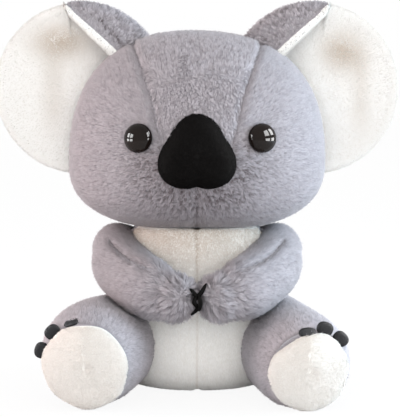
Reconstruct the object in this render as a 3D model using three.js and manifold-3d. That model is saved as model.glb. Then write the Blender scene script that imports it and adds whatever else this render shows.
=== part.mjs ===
// Seated plush koala: sewn plush panels over stuffed cores, plastic eyes, felt and thread claws.
// Millimetres, +Z up. The koala looks along -Y. The origin is on the floor under the seat.

import * as THREE from 'three';
import { mergeVertices } from 'three/addons/utils/BufferGeometryUtils.js';
import Module from 'manifold-3d';

const wasm = await Module();
wasm.setup();

// Cloth and clearances
const plushThickness = 3;
const seamGap = 0.3;
const socketGap = 0.8;
const armLegGap = 1;
const overrun = 800;

// Torso, a pear that is cut flat at the seat and at the neck
const torsoHalfWidth = 62;
const torsoFront = 58;
const torsoBack = 54;
const torsoCentreHeight = 40;
const torsoRise = 95;
const torsoSeatDrop = 0.5;
const neckCut = 19;
const neckHeight = torsoCentreHeight + torsoRise - neckCut;
const sideSeamForward = 14;

// Head, a wide soft block that is lowest and widest at the cheeks
const headHalfWidth = 91.5;
const headFront = 72;
const headBack = 66;
const headRise = 93.5;
const headDrop = 49;
const neckSink = 4.3;
const muzzleSwell = 8;
const muzzleHalfWidth = 36;
const muzzleHalfHeight = 30;
const muzzleRise = 8;

// Crown gusset: half widths as shares of the head's half width, heights as shares of its rise
const gussetFrontShares = [
  [0.06, -0.1], [0.2, 0], [0.29, 0.28], [0.34, 0.5], [0.42, 0.72], [0.5, 0.9], [0.5, 2]];
const gussetBackShares = [
  [0.16, -1.12], [0.24, -0.2], [0.32, 0.2], [0.4, 0.5], [0.45, 0.72], [0.5, 0.9], [0.5, 2]];

// Nose, a stuffed velvet triangle with round corners
const noseRadius = 25.5;
const noseCorner = 2.6;
const noseBulge = 13;
const noseRise = 8.3;

// Plastic safety eyes with a stem, held by a washer inside the head. Both sit a little to the right.
const eyeRadius = 9.6;
const eyeDome = 6.5;
const eyeRim = 1;
const eyeSpread = 42;
const eyeShift = 2.2;
const eyeRise = 19.5;
const eyeSeat = 1.2;
const eyeStemRadius = 2.2;
const eyeStemLength = 12;
const washerRadius = 8;
const washerThickness = 1.6;
const washerClearance = 2;

// Ears: round, cupped, with the upper inner edge folded forward
const earRadius = 60;
const earHeadOverlap = 8;
const earRise = 52;
const earSetBack = 10;
const earCup = 8;
const earLiningThickness = 4;
const earBackThickness = 5;
const earRimShare = 0.6;
const earFoldReach = 33;
const earFoldLength = 26;
const earFoldEaseLength = 8;
const earFoldAngle = 46;
const earRimBendAngle = 22;
const earFullBendAngle = 158;
const earLeastRun = 0.3;
const earSeamTopIn = 44;
const earSeamTopUp = 36;
const earSeamFootOut = 8;
const earSeamFootDown = 58;
const earFlopAngles = [-12, -6, 0, 7, 14];

// Arms, from the shoulder ball round the belly to the paws that meet at the middle
const shoulderRadius = 19;
const shoulderInset = 3.6;
const shoulderDrop = 22.4;
const elbowRadius = 22.5;
const elbowOut = -11;
const elbowForward = 30;
const elbowDrop = 6.6;
const forearmRadius = 22.5;
const forearmSpread = 34;
const forearmForward = 9;
const forearmDrop = 15.1;
const pawRadius = 19;
const pawSpread = 13;
const pawForward = 21;
const pawDrop = 19.6;

// Legs with a ball at the hip, fullest behind the foot, and with a round white sole. The right foot is
// a little smaller and lies lower.
const hipRadius = 33;
const hipInset = 10;
const hipSetBack = 6;
const hipHeight = 32.5;
const calfRadii = { left: 35.5, right: 33.5 };
const calfSpread = 69;
const calfForward = 72;
const calfHeights = { left: 35, right: 30 };
const footRadii = { left: 29.5, right: 27.5 };
const footSpread = 74.5;
const footForward = 106;
const footHeights = { left: 30, right: 27 };
const soleBulge = 8;
const soleDepth = 3;

// Felt claws in the seam of each sole. Angles run outwards from straight up, and the tilts lay a claw
// back on the leg.
const clawLength = 7;
const clawHalfWidth = 5.2;
const clawThickness = 2.4;
const clawRoot = 2;
const clawAngles = { left: [13, 41, 69], right: [-4, 21, 46] };
const clawTiltAngles = { left: [55, 0, 0], right: [55, 0, 0] };

// Thread claws, laid on the paws where they are tacked together
const threadThickness = 2.2;
const threadHalfWidth = 1.5;
const threadTipHalfWidth = 0.6;
const threadRoot = 2.4;
const threadReach = 13;
const threadSpread = 5;

// Facets
const headRows = 12;
const headSectors = 22;
const torsoRows = 10;
const torsoSectors = 18;
const limbSectors = 16;
const legRows = 4;
const armRows = 5;
const limbEndRows = 3;
const ballSectors = 16;
const earSectors = 22;
const earFlatRows = 1;
const earBendRows = 3;
const noseSectors = 18;
const noseRows = 3;
const eyeSectors = 16;
const eyeRows = 4;
const threadSteps = 4;
const seatHalvings = 40;
const directionStep = 0.02;

const sides = { left: -1, right: 1 };
const sideName = (side) => (side < 0 ? 'left' : 'right');
const upAxis = new THREE.Vector3(0, 0, 1);
const sidewaysAxis = new THREE.Vector3(1, 0, 0);

const headCentreHeight = neckHeight + headDrop - neckSink;
const headForm = {
  centre: new THREE.Vector3(0, 0, headCentreHeight),
  halfWidth: headHalfWidth,
  front: headFront,
  back: headBack,
  rise: headRise,
  drop: headDrop,
  risePower: 2.4,
  dropPower: 2.6,
  sidePower: 2.3,
  swell: muzzleSwell,
  rows: headRows,
  sectors: headSectors,
};
const torsoForm = {
  centre: new THREE.Vector3(0, 0, torsoCentreHeight),
  halfWidth: torsoHalfWidth,
  front: torsoFront,
  back: torsoBack,
  rise: torsoRise,
  drop: torsoCentreHeight + torsoSeatDrop,
  risePower: 2,
  dropPower: 3,
  sidePower: 2.2,
  swell: 0,
  rows: torsoRows,
  sectors: torsoSectors,
};

// Solids: a closed indexed geometry goes in, and a mesh geometry comes out after the cuts

function signedVolume(position, index) {
  const a = new THREE.Vector3();
  const b = new THREE.Vector3();
  const c = new THREE.Vector3();
  let volume = 0;
  for (let i = 0; i < index.count; i += 3) {
    a.fromBufferAttribute(position, index.getX(i));
    b.fromBufferAttribute(position, index.getX(i + 1));
    c.fromBufferAttribute(position, index.getX(i + 2));
    volume += a.dot(b.cross(c)) / 6;
  }
  return volume;
}

function toSolid(geometry) {
  const bare = geometry.clone();
  bare.deleteAttribute('normal');
  bare.deleteAttribute('uv');
  const merged = mergeVertices(bare);
  const triVerts = new Uint32Array(merged.index.array);
  if (signedVolume(merged.attributes.position, merged.index) < 0) triVerts.reverse();
  const vertProperties = new Float32Array(merged.attributes.position.array);
  return new wasm.Manifold(new wasm.Mesh({ numProp: 3, vertProperties, triVerts }));
}

function toGeometry(solid) {
  const mesh = solid.getMesh();
  const geometry = new THREE.BufferGeometry();
  geometry.setAttribute('position', new THREE.BufferAttribute(new Float32Array(mesh.vertProperties), 3));
  geometry.setIndex(new THREE.BufferAttribute(new Uint32Array(mesh.triVerts), 1));
  return geometry;
}

// A closed skin through rings of points, with a point at each end
function loft(firstPoint, rings, lastPoint) {
  const count = rings[0].length;
  const positions = [...firstPoint.toArray()];
  rings.forEach((ring) => ring.forEach((point) => positions.push(...point.toArray())));
  positions.push(...lastPoint.toArray());
  const lastIndex = positions.length / 3 - 1;
  const indices = [];
  for (let j = 0; j < count; j += 1) {
    const next = (j + 1) % count;
    indices.push(0, 1 + next, 1 + j);
    for (let i = 0; i < rings.length - 1; i += 1) {
      const low = 1 + i * count;
      const high = low + count;
      indices.push(low + j, low + next, high + j, low + next, high + next, high + j);
    }
    const lastRing = 1 + (rings.length - 1) * count;
    indices.push(lastRing + j, lastRing + next, lastIndex);
  }
  const geometry = new THREE.BufferGeometry();
  geometry.setAttribute('position', new THREE.Float32BufferAttribute(positions, 3));
  geometry.setIndex(indices);
  return toSolid(geometry);
}

// Everything on one side of a plane
function halfSpace(point, normal) {
  const box = new THREE.BoxGeometry(overrun, overrun, overrun);
  box.translate(0, 0, overrun / 2);
  box.applyQuaternion(new THREE.Quaternion().setFromUnitVectors(upAxis, normal));
  box.translate(point.x, point.y, point.z);
  return toSolid(box);
}

const floorUpTo = (height) => halfSpace(new THREE.Vector3(0, 0, height), new THREE.Vector3(0, 0, -1));
const above = (height) => halfSpace(new THREE.Vector3(0, 0, height), new THREE.Vector3(0, 0, 1));
const inFrontOf = (depth) => halfSpace(new THREE.Vector3(0, depth, 0), new THREE.Vector3(0, -1, 0));
const behind = (depth) => halfSpace(new THREE.Vector3(0, depth, 0), new THREE.Vector3(0, 1, 0));
const beyond = (side, distance) =>
  halfSpace(new THREE.Vector3(side * distance, 0, 0), new THREE.Vector3(side, 0, 0));

// A ball with its poles on the axis that it turns about
function ball(centre, radius, axis) {
  const sphere = new THREE.SphereGeometry(radius, ballSectors, ballSectors / 2);
  sphere.applyQuaternion(new THREE.Quaternion().setFromUnitVectors(new THREE.Vector3(0, 1, 0), axis));
  sphere.translate(centre.x, centre.y, centre.z);
  return toSolid(sphere);
}

function turned(solid, centre, axis, degrees) {
  if (degrees === 0) return solid;
  const turn = new THREE.Matrix4().makeTranslation(centre.x, centre.y, centre.z);
  turn.multiply(new THREE.Matrix4().makeRotationAxis(axis, THREE.MathUtils.degToRad(degrees)));
  turn.multiply(new THREE.Matrix4().makeTranslation(-centre.x, -centre.y, -centre.z));
  return solid.transform(turn.toArray());
}

// The space that a still piece takes up, seen from a piece that turns through the given steps
function sweptClearance(stillSolid, centre, axis, steps) {
  return steps
    .map((step) => turned(stillSolid, centre, axis, -step))
    .reduce((sum, solid) => sum.add(solid));
}

// Stuffed forms: the distance from the centre to the skin in a direction, by superellipses

function reach(form, direction, inset) {
  const halfWidth = form.halfWidth - inset;
  const depth = (direction.y < 0 ? form.front : form.back) - inset;
  const height = (direction.z < 0 ? form.drop : form.rise) - inset;
  const power = direction.z < 0 ? form.dropPower : form.risePower;
  const across = Math.abs(direction.x / halfWidth) ** form.sidePower;
  const along = Math.abs(direction.y / depth) ** form.sidePower;
  const level = (across + along) ** (power / form.sidePower);
  const distance = (level + Math.abs(direction.z / height) ** power) ** (-1 / power);
  if (form.swell === 0 || direction.y > 0) return distance;
  const sideways = (direction.x * distance) / muzzleHalfWidth;
  const upwards = (direction.z * distance - muzzleRise) / muzzleHalfHeight;
  return distance + form.swell * Math.exp(-(sideways ** 2) - upwards ** 2) * direction.y ** 2;
}

function surfacePoint(form, direction, inset = 0) {
  return direction.clone().multiplyScalar(reach(form, direction, inset)).add(form.centre);
}

function stuffed(form, inset) {
  const rings = [];
  for (let i = 1; i < form.rows; i += 1) {
    const tilt = (i / form.rows - 0.5) * Math.PI;
    const ring = [];
    for (let j = 0; j < form.sectors; j += 1) {
      const turn = (j / form.sectors) * 2 * Math.PI;
      const level = Math.cos(tilt);
      const direction = new THREE.Vector3(level * Math.sin(turn), level * Math.cos(turn), Math.sin(tilt));
      ring.push(surfacePoint(form, direction, inset));
    }
    rings.push(ring);
  }
  const lowest = surfacePoint(form, new THREE.Vector3(0, 0, -1), inset);
  const highest = surfacePoint(form, new THREE.Vector3(0, 0, 1), inset);
  return loft(lowest, rings, highest);
}

// The point on the front of a form at a given place, and the outward normal there
function frontSeat(form, x, z) {
  const offset = new THREE.Vector3(x, 0, z - form.centre.z);
  let inside = 0;
  let outside = -form.front - form.swell;
  for (let i = 0; i < seatHalvings; i += 1) {
    offset.y = (inside + outside) / 2;
    if (offset.length() < reach(form, offset.clone().normalize(), 0)) inside = offset.y;
    else outside = offset.y;
  }
  const direction = offset.clone().normalize();
  const sideways = direction.clone().addScaledVector(sidewaysAxis, directionStep);
  const upwards = direction.clone().addScaledVector(upAxis, directionStep);
  const point = surfacePoint(form, direction);
  const acrossEdge = surfacePoint(form, sideways.normalize()).sub(point);
  const upEdge = surfacePoint(form, upwards.normalize()).sub(point);
  return { point, normal: acrossEdge.cross(upEdge).normalize() };
}

// A limb's tube: round sections along a path, flat at its start and domed at its end
function limbTube(limb, inset) {
  const path = new THREE.CatmullRomCurve3(limb.points);
  const rings = [];
  const addRing = (centre, tangent, radius) => {
    const sideways = new THREE.Vector3().crossVectors(tangent, upAxis).normalize();
    const upwards = new THREE.Vector3().crossVectors(sideways, tangent);
    const ring = [];
    for (let j = 0; j < limbSectors; j += 1) {
      const turn = (j / limbSectors) * 2 * Math.PI;
      const point = centre.clone();
      point.addScaledVector(sideways, radius * Math.cos(turn));
      point.addScaledVector(upwards, radius * Math.sin(turn));
      ring.push(point);
    }
    rings.push(ring);
  };
  const endTangent = path.getTangent(1);
  const endRadius = limb.radii[limb.radii.length - 1] - inset;
  const endBulge = limb.endBulge - inset;
  for (let i = 0; i <= limb.rows; i += 1) {
    const share = i / limb.rows;
    const place = share * (limb.radii.length - 1);
    const station = Math.min(Math.floor(place), limb.radii.length - 2);
    const blend = THREE.MathUtils.smoothstep(place - station, 0, 1);
    const radius = THREE.MathUtils.lerp(limb.radii[station], limb.radii[station + 1], blend) - inset;
    addRing(path.getPoint(share), path.getTangent(share), radius);
  }
  const lastPoint = limb.points[limb.points.length - 1];
  for (let i = 1; i < limbEndRows; i += 1) {
    const angle = ((i / limbEndRows) * Math.PI) / 2;
    const centre = lastPoint.clone().addScaledVector(endTangent, endBulge * Math.sin(angle));
    addRing(centre, endTangent, endRadius * Math.cos(angle));
  }
  const lastTip = lastPoint.clone().addScaledVector(endTangent, endBulge);
  return loft(limb.points[0], rings, lastTip);
}

// Places of the limbs, and the axes that they turn about

function shoulderOf(side) {
  return new THREE.Vector3(side * (torsoHalfWidth - shoulderInset), 0, neckHeight - shoulderDrop);
}

function hipOf(side) {
  return new THREE.Vector3(side * (torsoHalfWidth - hipInset), hipSetBack, hipHeight);
}

function armOf(side) {
  const shoulder = shoulderOf(side);
  const elbow = new THREE.Vector3(
    side * (torsoHalfWidth + elbowOut), -elbowForward, shoulder.z - elbowDrop);
  const forearm = new THREE.Vector3(
    side * forearmSpread, -(torsoFront + forearmForward), shoulder.z - forearmDrop);
  const paw = new THREE.Vector3(
    side * pawSpread, -(torsoFront + pawForward), shoulder.z - pawDrop);
  return {
    points: [shoulder, elbow, forearm, paw],
    radii: [shoulderRadius, elbowRadius, forearmRadius, pawRadius],
    endBulge: pawRadius,
    rows: armRows,
    axis: sidewaysAxis,
  };
}

function legOf(side) {
  const name = sideName(side);
  const calf = new THREE.Vector3(side * calfSpread, -calfForward, calfHeights[name]);
  const foot = new THREE.Vector3(side * footSpread, -footForward, footHeights[name]);
  return {
    points: [hipOf(side), calf, foot],
    radii: [hipRadius, calfRadii[name], footRadii[name]],
    endBulge: soleBulge,
    rows: legRows,
    axis: upAxis,
  };
}

// The plane in which an arm rests on a leg, and everything beyond it: towards is 1 for the arm's side
function beyondRest(side, towards, inset) {
  const arm = armOf(side);
  const leg = legOf(side);
  const [, elbow, forearm] = arm.points;
  const [hip, calf] = leg.points;
  const onArm = elbow.clone().add(forearm).divideScalar(2);
  const onLeg = hip.clone().lerp(calf, (onArm.y - hip.y) / (calf.y - hip.y));
  const between = onArm.clone().sub(onLeg);
  const point = onLeg.addScaledVector(between, leg.radii[1] / (leg.radii[1] + arm.radii[1]));
  const away = between.normalize().multiplyScalar(towards);
  return halfSpace(point.addScaledVector(away, -armLegGap / 2 - inset), away);
}

const limbBall = (limb, inset) => ball(limb.points[0], limb.radii[0] - inset, limb.axis);

// Hollows in the torso that the limbs' balls turn in
function sockets() {
  return Object.values(sides)
    .flatMap((side) => [limbBall(legOf(side), -socketGap), limbBall(armOf(side), -socketGap)])
    .reduce((sum, solid) => sum.add(solid));
}

// A limb at a distance inside its skin: its tube stops at the torso, and its ball goes in
function limbLayer(limb, inset) {
  return limbTube(limb, inset).subtract(stuffed(torsoForm, -inset - seamGap)).add(limbBall(limb, inset));
}

// Torso

function makeTorso() {
  const joints = sockets();
  const outer = stuffed(torsoForm, 0).subtract(floorUpTo(0)).subtract(above(neckHeight)).subtract(joints);
  const cavity = stuffed(torsoForm, plushThickness).subtract(floorUpTo(plushThickness));
  const shell = outer.subtract(cavity);
  const front = shell.intersect(inFrontOf(-sideSeamForward - seamGap));
  const filling = stuffed(torsoForm, plushThickness + seamGap)
    .subtract(floorUpTo(plushThickness + seamGap))
    .subtract(above(neckHeight))
    .subtract(joints);
  return {
    belly_left: front.intersect(beyond(sides.left, seamGap / 2)),
    belly_right: front.intersect(beyond(sides.right, seamGap / 2)),
    body_back: shell.intersect(behind(-sideSeamForward)),
    body_filling: filling,
  };
}

// Head

// The gusset's outline seen from the front, pushed forwards from the given depth
function gussetPrism(shares, depth, grow) {
  const rightEdge = shares.map(([width, height]) =>
    new THREE.Vector2(width * headHalfWidth + grow, headForm.centre.z + height * headRise));
  const leftEdge = rightEdge.map((point) => new THREE.Vector2(-point.x, point.y)).reverse();
  const shape = new THREE.Shape([...rightEdge, ...leftEdge]);
  const prism = new THREE.ExtrudeGeometry(shape, { depth: overrun, bevelEnabled: false });
  prism.rotateX(Math.PI / 2);
  prism.translate(0, depth, 0);
  return toSolid(prism);
}

function gussetSpace(grow) {
  return gussetPrism(gussetFrontShares, 0, grow).add(gussetPrism(gussetBackShares, overrun, grow));
}

function eyeFrame(side) {
  const seat = frontSeat(headForm, side * eyeSpread + eyeShift, headForm.centre.z + eyeRise);
  const turn = new THREE.Quaternion().setFromUnitVectors(new THREE.Vector3(0, 1, 0), seat.normal);
  return new THREE.Matrix4().compose(seat.point, turn, new THREE.Vector3(1, 1, 1));
}

// A turned piece on the eye's axis, from radius and height pairs, height outwards from the skin
function onEyeAxis(side, profile) {
  const points = profile.map(([radius, height]) => new THREE.Vector2(radius, height));
  const lathe = new THREE.LatheGeometry(points, eyeSectors);
  lathe.applyMatrix4(eyeFrame(side));
  return toSolid(lathe);
}

function eyeRod(side, radius, from, to) {
  return onEyeAxis(side, [[0, from], [radius, from], [radius, to], [0, to]]);
}

function makeEye(side) {
  const base = seamGap - eyeSeat;
  const rim = base + eyeRim;
  const stem = [[0, -eyeStemLength], [eyeStemRadius, -eyeStemLength], [eyeStemRadius, base]];
  const profile = [...stem, [eyeRadius, base]];
  for (let i = 0; i < eyeRows; i += 1) {
    const angle = ((i / eyeRows) * Math.PI) / 2;
    profile.push([eyeRadius * Math.cos(angle), rim + eyeDome * Math.sin(angle)]);
  }
  profile.push([0, rim + eyeDome]);
  return onEyeAxis(side, profile);
}

function makeWasher(side) {
  const bore = eyeStemRadius + seamGap;
  const top = -(plushThickness + washerClearance);
  const bottom = top - washerThickness;
  const section = [[bore, bottom], [washerRadius, bottom], [washerRadius, top], [bore, top]];
  return onEyeAxis(side, [...section, section[0]]);
}

function makeHead() {
  const eyeHoles = Object.values(sides)
    .map((side) => eyeRod(side, eyeStemRadius + seamGap, -eyeStemLength - seamGap, overrun)
      .add(eyeRod(side, eyeRadius + seamGap, -eyeSeat, overrun)))
    .reduce((sum, solid) => sum.add(solid));
  const pocketFloor = -(plushThickness + washerClearance + washerThickness + seamGap);
  const washerPockets = Object.values(sides)
    .map((side) => eyeRod(side, washerRadius + seamGap, pocketFloor, overrun))
    .reduce((sum, solid) => sum.add(solid));
  const neck = floorUpTo(neckHeight + seamGap);
  const outer = stuffed(headForm, 0).subtract(neck);
  const shell = outer.subtract(stuffed(headForm, plushThickness)).subtract(eyeHoles);
  const sidePanels = shell.subtract(gussetSpace(seamGap));
  return {
    head_gusset: shell.intersect(gussetSpace(0)),
    head_side_left: sidePanels.intersect(beyond(sides.left, seamGap / 2)),
    head_side_right: sidePanels.intersect(beyond(sides.right, seamGap / 2)),
    head_filling: stuffed(headForm, plushThickness + seamGap)
      .subtract(neck).subtract(eyeHoles).subtract(washerPockets),
  };
}

function makeNose() {
  const centre = new THREE.Vector3(0, 0, headForm.centre.z + noseRise);
  const skin = frontSeat(headForm, 0, centre.z).point.y;
  const ringAt = (scale, depth) => {
    const ring = [];
    for (let j = 0; j < noseSectors; j += 1) {
      const turn = (j / noseSectors) * 2 * Math.PI;
      const radius = scale * (noseRadius - noseCorner * Math.sin(3 * turn));
      ring.push(new THREE.Vector3(radius * Math.cos(turn), depth, centre.z + radius * Math.sin(turn)));
    }
    return ring;
  };
  const rings = [ringAt(1, skin + noseBulge)];
  for (let i = 0; i < noseRows; i += 1) {
    const angle = ((i / noseRows) * Math.PI) / 2;
    rings.push(ringAt(Math.cos(angle), skin - noseBulge * Math.sin(angle)));
  }
  const back = new THREE.Vector3(0, skin + noseBulge, centre.z);
  const tip = new THREE.Vector3(0, skin - noseBulge, centre.z);
  return loft(back, rings, tip).subtract(stuffed(headForm, -seamGap));
}

// Ears

// How far the ear's edge folds back over the lining, at an angle round the ear
function foldDepth(angle) {
  const away = Math.cos(angle - THREE.MathUtils.degToRad(earFoldAngle));
  if (away * earRadius <= earFoldReach) return 0;
  return earRadius - earFoldReach / away;
}

// The ear's section at an angle: distance from the centre, depth and slope at each step outwards
function earSection(angle) {
  const fold = foldDepth(angle);
  const blend = THREE.MathUtils.smoothstep(fold, 0, earFoldEaseLength);
  const bendAngle = THREE.MathUtils.lerp(earRimBendAngle, earFullBendAngle, blend);
  const bend = THREE.MathUtils.degToRad(bendAngle);
  const bendRadius = earFoldLength / bend;
  const bendStart = earRadius - bendRadius * Math.sin(Math.min(bend, Math.PI / 2));
  const steps = [];
  for (let i = 1; i <= earFlatRows; i += 1) {
    steps.push({ out: (bendStart * i) / earFlatRows, forward: 0, slope: 0 });
  }
  for (let i = 1; i <= earBendRows; i += 1) {
    const slope = (bend * i) / earBendRows;
    steps.push({
      out: bendStart + bendRadius * Math.sin(slope),
      forward: bendRadius * (1 - Math.cos(slope)),
      slope,
    });
  }
  const last = steps[steps.length - 1];
  const run = Math.max(0, last.out - (earRadius - fold)) * blend;
  const leastRun = (1 - blend) * earLeastRun;
  steps.push({
    out: last.out - run + leastRun,
    forward: last.forward + run * Math.tan(Math.PI - bend) * blend + leastRun,
    slope: bend,
  });
  return steps;
}

function earCentre(side) {
  const across = side * (headHalfWidth - earHeadOverlap);
  return new THREE.Vector3(across, earSetBack, headForm.centre.z + earRise);
}

function earPoint(side, angle, step, lift) {
  const out = step.out - lift * Math.sin(step.slope);
  const forward = step.forward + lift * Math.cos(step.slope);
  const cup = earCup * Math.max(0, 1 - (step.out / earRadius) ** 2);
  const centre = earCentre(side);
  return new THREE.Vector3(
    centre.x - side * out * Math.cos(angle), centre.y + cup - forward, centre.z + out * Math.sin(angle));
}

// One ear panel between two distances from the ear's middle layer, positive towards the front
function earPanel(side, near, far) {
  const angles = Array.from({ length: earSectors }, (_, j) => (j / earSectors) * 2 * Math.PI);
  const sections = angles.map(earSection);
  const stepCount = sections[0].length;
  const thin = (i) => THREE.MathUtils.lerp(1, earRimShare, i / (stepCount - 1));
  const layer = (lift, i) => angles.map((angle, j) => earPoint(side, angle, sections[j][i], lift));
  const rings = [];
  for (let i = 0; i < stepCount; i += 1) rings.push(layer(near, i));
  for (let i = stepCount - 1; i >= 0; i -= 1) rings.push(layer(near + (far - near) * thin(i), i));
  const middle = { out: 0, forward: 0, slope: 0 };
  return loft(earPoint(side, 0, middle, near), rings, earPoint(side, 0, middle, far));
}

function earHinge(side) {
  const centre = earCentre(side);
  const top = new THREE.Vector3(centre.x - side * earSeamTopIn, centre.y, centre.z + earSeamTopUp);
  const foot = new THREE.Vector3(centre.x + side * earSeamFootOut, centre.y, centre.z - earSeamFootDown);
  return { point: foot, axis: top.clone().sub(foot).normalize() };
}

function makeEar(side) {
  const hinge = earHinge(side);
  const steps = earFlopAngles.map((step) => step * side);
  const room = sweptClearance(stuffed(headForm, -seamGap), hinge.point, hinge.axis, steps);
  return {
    lining: earPanel(side, seamGap / 2, seamGap / 2 + earLiningThickness).subtract(room),
    back: earPanel(side, -seamGap / 2, -seamGap / 2 - earBackThickness).subtract(room),
  };
}

// Legs

// Turns a shape drawn at the sole's seam, X outwards and Z up, Y into the leg, into its place
function soleFrame(side) {
  const [, calf, foot] = legOf(side).points;
  const along = calf.clone().sub(foot).normalize();
  const sideways = new THREE.Vector3().crossVectors(along, upAxis).normalize();
  const up = new THREE.Vector3().crossVectors(sideways, along);
  const basis = new THREE.Matrix4().makeBasis(sideways, along, up);
  const seam = foot.clone().addScaledVector(along, soleDepth);
  const place = new THREE.Matrix4().makeTranslation(seam.x, seam.y, seam.z).multiply(basis);
  return { place, along, seam };
}

function clawSolid(side, number, grow) {
  const foot = sideName(side);
  const footRadius = footRadii[foot];
  const pivot = footRadius - clawRoot;
  const shape = new THREE.Shape();
  const halfWidth = clawHalfWidth + grow;
  const tip = footRadius + clawLength + grow;
  const root = footRadius - clawRoot - grow;
  shape.moveTo(-halfWidth, root);
  shape.lineTo(halfWidth, root);
  shape.lineTo(halfWidth, tip - clawHalfWidth);
  shape.absellipse(0, tip - clawHalfWidth, halfWidth, clawHalfWidth, 0, Math.PI, false, 0);
  shape.closePath();
  const depth = clawThickness + 2 * grow;
  const plate = new THREE.ExtrudeGeometry(shape, { depth, bevelEnabled: false, curveSegments: 8 });
  plate.rotateX(Math.PI / 2);
  plate.translate(0, grow, -pivot);
  plate.rotateX(-THREE.MathUtils.degToRad(clawTiltAngles[foot][number]));
  plate.translate(0, clawThickness, pivot);
  plate.rotateY(THREE.MathUtils.degToRad(side * clawAngles[foot][number]));
  plate.applyMatrix4(soleFrame(side).place);
  return toSolid(plate);
}

function makeLeg(side, clawNumbers) {
  const limb = legOf(side);
  const layer = (inset) => limbLayer(limb, inset)
    .subtract(floorUpTo(inset))
    .subtract(beyondRest(side, 1, inset));
  const skin = layer(0).subtract(layer(plushThickness));
  const { along, seam } = soleFrame(side);
  const ahead = along.clone().negate();
  const soleRoom = halfSpace(seam, ahead);
  const soleSpace = halfSpace(seam.clone().addScaledVector(ahead, seamGap), ahead);
  const clawRoom = clawNumbers.map((number) => clawSolid(side, number, seamGap))
    .reduce((sum, solid) => sum.add(solid));
  return {
    skin: skin.subtract(soleRoom).subtract(clawRoom),
    sole: skin.intersect(soleSpace),
    filling: layer(plushThickness + seamGap),
  };
}

// Arms

function makeArm(side) {
  const limb = armOf(side);
  const shoulder = shoulderOf(side);
  const layer = (inset) => limbLayer(limb, inset)
    .intersect(beyond(side, seamGap / 2 + inset))
    .subtract(above(neckHeight - seamGap - inset))
    .subtract(beyondRest(side, -1, inset));
  const openingDistance = Math.abs(shoulder.x) - shoulderRadius + plushThickness * 2;
  const opening = limbBall(limb, -seamGap).subtract(beyond(side, openingDistance));
  return {
    skin: layer(0).subtract(layer(plushThickness)).subtract(opening),
    filling: layer(plushThickness + seamGap),
  };
}

// A strand on the front of a paw, from its root at the middle to its tip, upwards or downwards
function makeThread(side, end) {
  const limb = armOf(side);
  const paw = limb.points[3];
  const path = new THREE.QuadraticBezierCurve(
    new THREE.Vector2(side * threadRoot, paw.z + end * threadRoot),
    new THREE.Vector2(side * threadRoot, paw.z + end * threadReach / 2),
    new THREE.Vector2(side * threadSpread, paw.z + end * threadReach));
  const edge = (direction) => Array.from({ length: threadSteps + 1 }, (_, i) => {
    const share = i / threadSteps;
    const halfWidth = THREE.MathUtils.lerp(threadHalfWidth, threadTipHalfWidth, share);
    const tangent = path.getTangent(share);
    const across = new THREE.Vector2(tangent.y, -tangent.x);
    return path.getPoint(share).addScaledVector(across, direction * halfWidth);
  });
  const shape = new THREE.Shape([...edge(1), ...edge(-1).reverse()]);
  const prism = new THREE.ExtrudeGeometry(shape, { depth: overrun, bevelEnabled: false });
  prism.rotateX(Math.PI / 2);
  prism.translate(0, paw.y, 0);
  const layer = limbTube(limb, -seamGap - threadThickness).subtract(limbTube(limb, -seamGap));
  return toSolid(prism).intersect(layer);
}

// Assembly

const colours = {
  grey: 0xb4aeb4,
  cream: 0xece8e2,
  filling: 0xf4f4f0,
  velvet: 0x141315,
  gloss: 0x0b0a0a,
  washer: 0xdedede,
  felt: 0x2a2a2c,
  thread: 0x101010,
};

function addPiece(parent, name, solid, colour, roughness = 0.95) {
  const material = new THREE.MeshStandardMaterial({ color: colour, roughness, metalness: 0 });
  const mesh = new THREE.Mesh(toGeometry(solid), material);
  mesh.name = name;
  parent.add(mesh);
}

const koala = new THREE.Group();
const body = new THREE.Group();
const head = new THREE.Group();
const limbs = new THREE.Group();
koala.add(body, head, limbs);

const torso = makeTorso();
addPiece(body, 'belly_left', torso.belly_left, colours.cream);
addPiece(body, 'belly_right', torso.belly_right, colours.cream);
addPiece(body, 'body_back', torso.body_back, colours.grey);
addPiece(body, 'body_filling', torso.body_filling, colours.filling);

const headPieces = makeHead();
addPiece(head, 'head_gusset', headPieces.head_gusset, colours.grey);
addPiece(head, 'head_side_left', headPieces.head_side_left, colours.grey);
addPiece(head, 'head_side_right', headPieces.head_side_right, colours.grey);
addPiece(head, 'head_filling', headPieces.head_filling, colours.filling);
addPiece(head, 'nose', makeNose(), colours.velvet, 0.8);

Object.entries(sides).forEach(([name, side]) => {
  addPiece(head, `eye_${name}`, makeEye(side), colours.gloss, 0.08);
  addPiece(head, `eye_washer_${name}`, makeWasher(side), colours.washer, 0.5);
  const ear = makeEar(side);
  addPiece(head, `ear_lining_${name}`, ear.lining, colours.cream);
  addPiece(head, `ear_back_${name}`, ear.back, colours.grey);
  const clawNumbers = [...clawAngles[name].keys()];
  const leg = makeLeg(side, clawNumbers);
  addPiece(limbs, `leg_skin_${name}`, leg.skin, colours.grey);
  addPiece(limbs, `leg_filling_${name}`, leg.filling, colours.filling);
  addPiece(limbs, `sole_${name}`, leg.sole, colours.cream);
  clawNumbers.forEach((number) => {
    const claw = clawSolid(side, number, 0);
    addPiece(limbs, `felt_claw_${name}_${number + 1}`, claw, colours.felt, 0.9);
  });
  const arm = makeArm(side);
  addPiece(limbs, `arm_skin_${name}`, arm.skin, colours.grey);
  addPiece(limbs, `arm_filling_${name}`, arm.filling, colours.filling);
  addPiece(limbs, `paw_thread_${name}_upper`, makeThread(side, 1), colours.thread, 0.7);
  addPiece(limbs, `paw_thread_${name}_lower`, makeThread(side, -1), colours.thread, 0.7);
});

export default koala;
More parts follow.
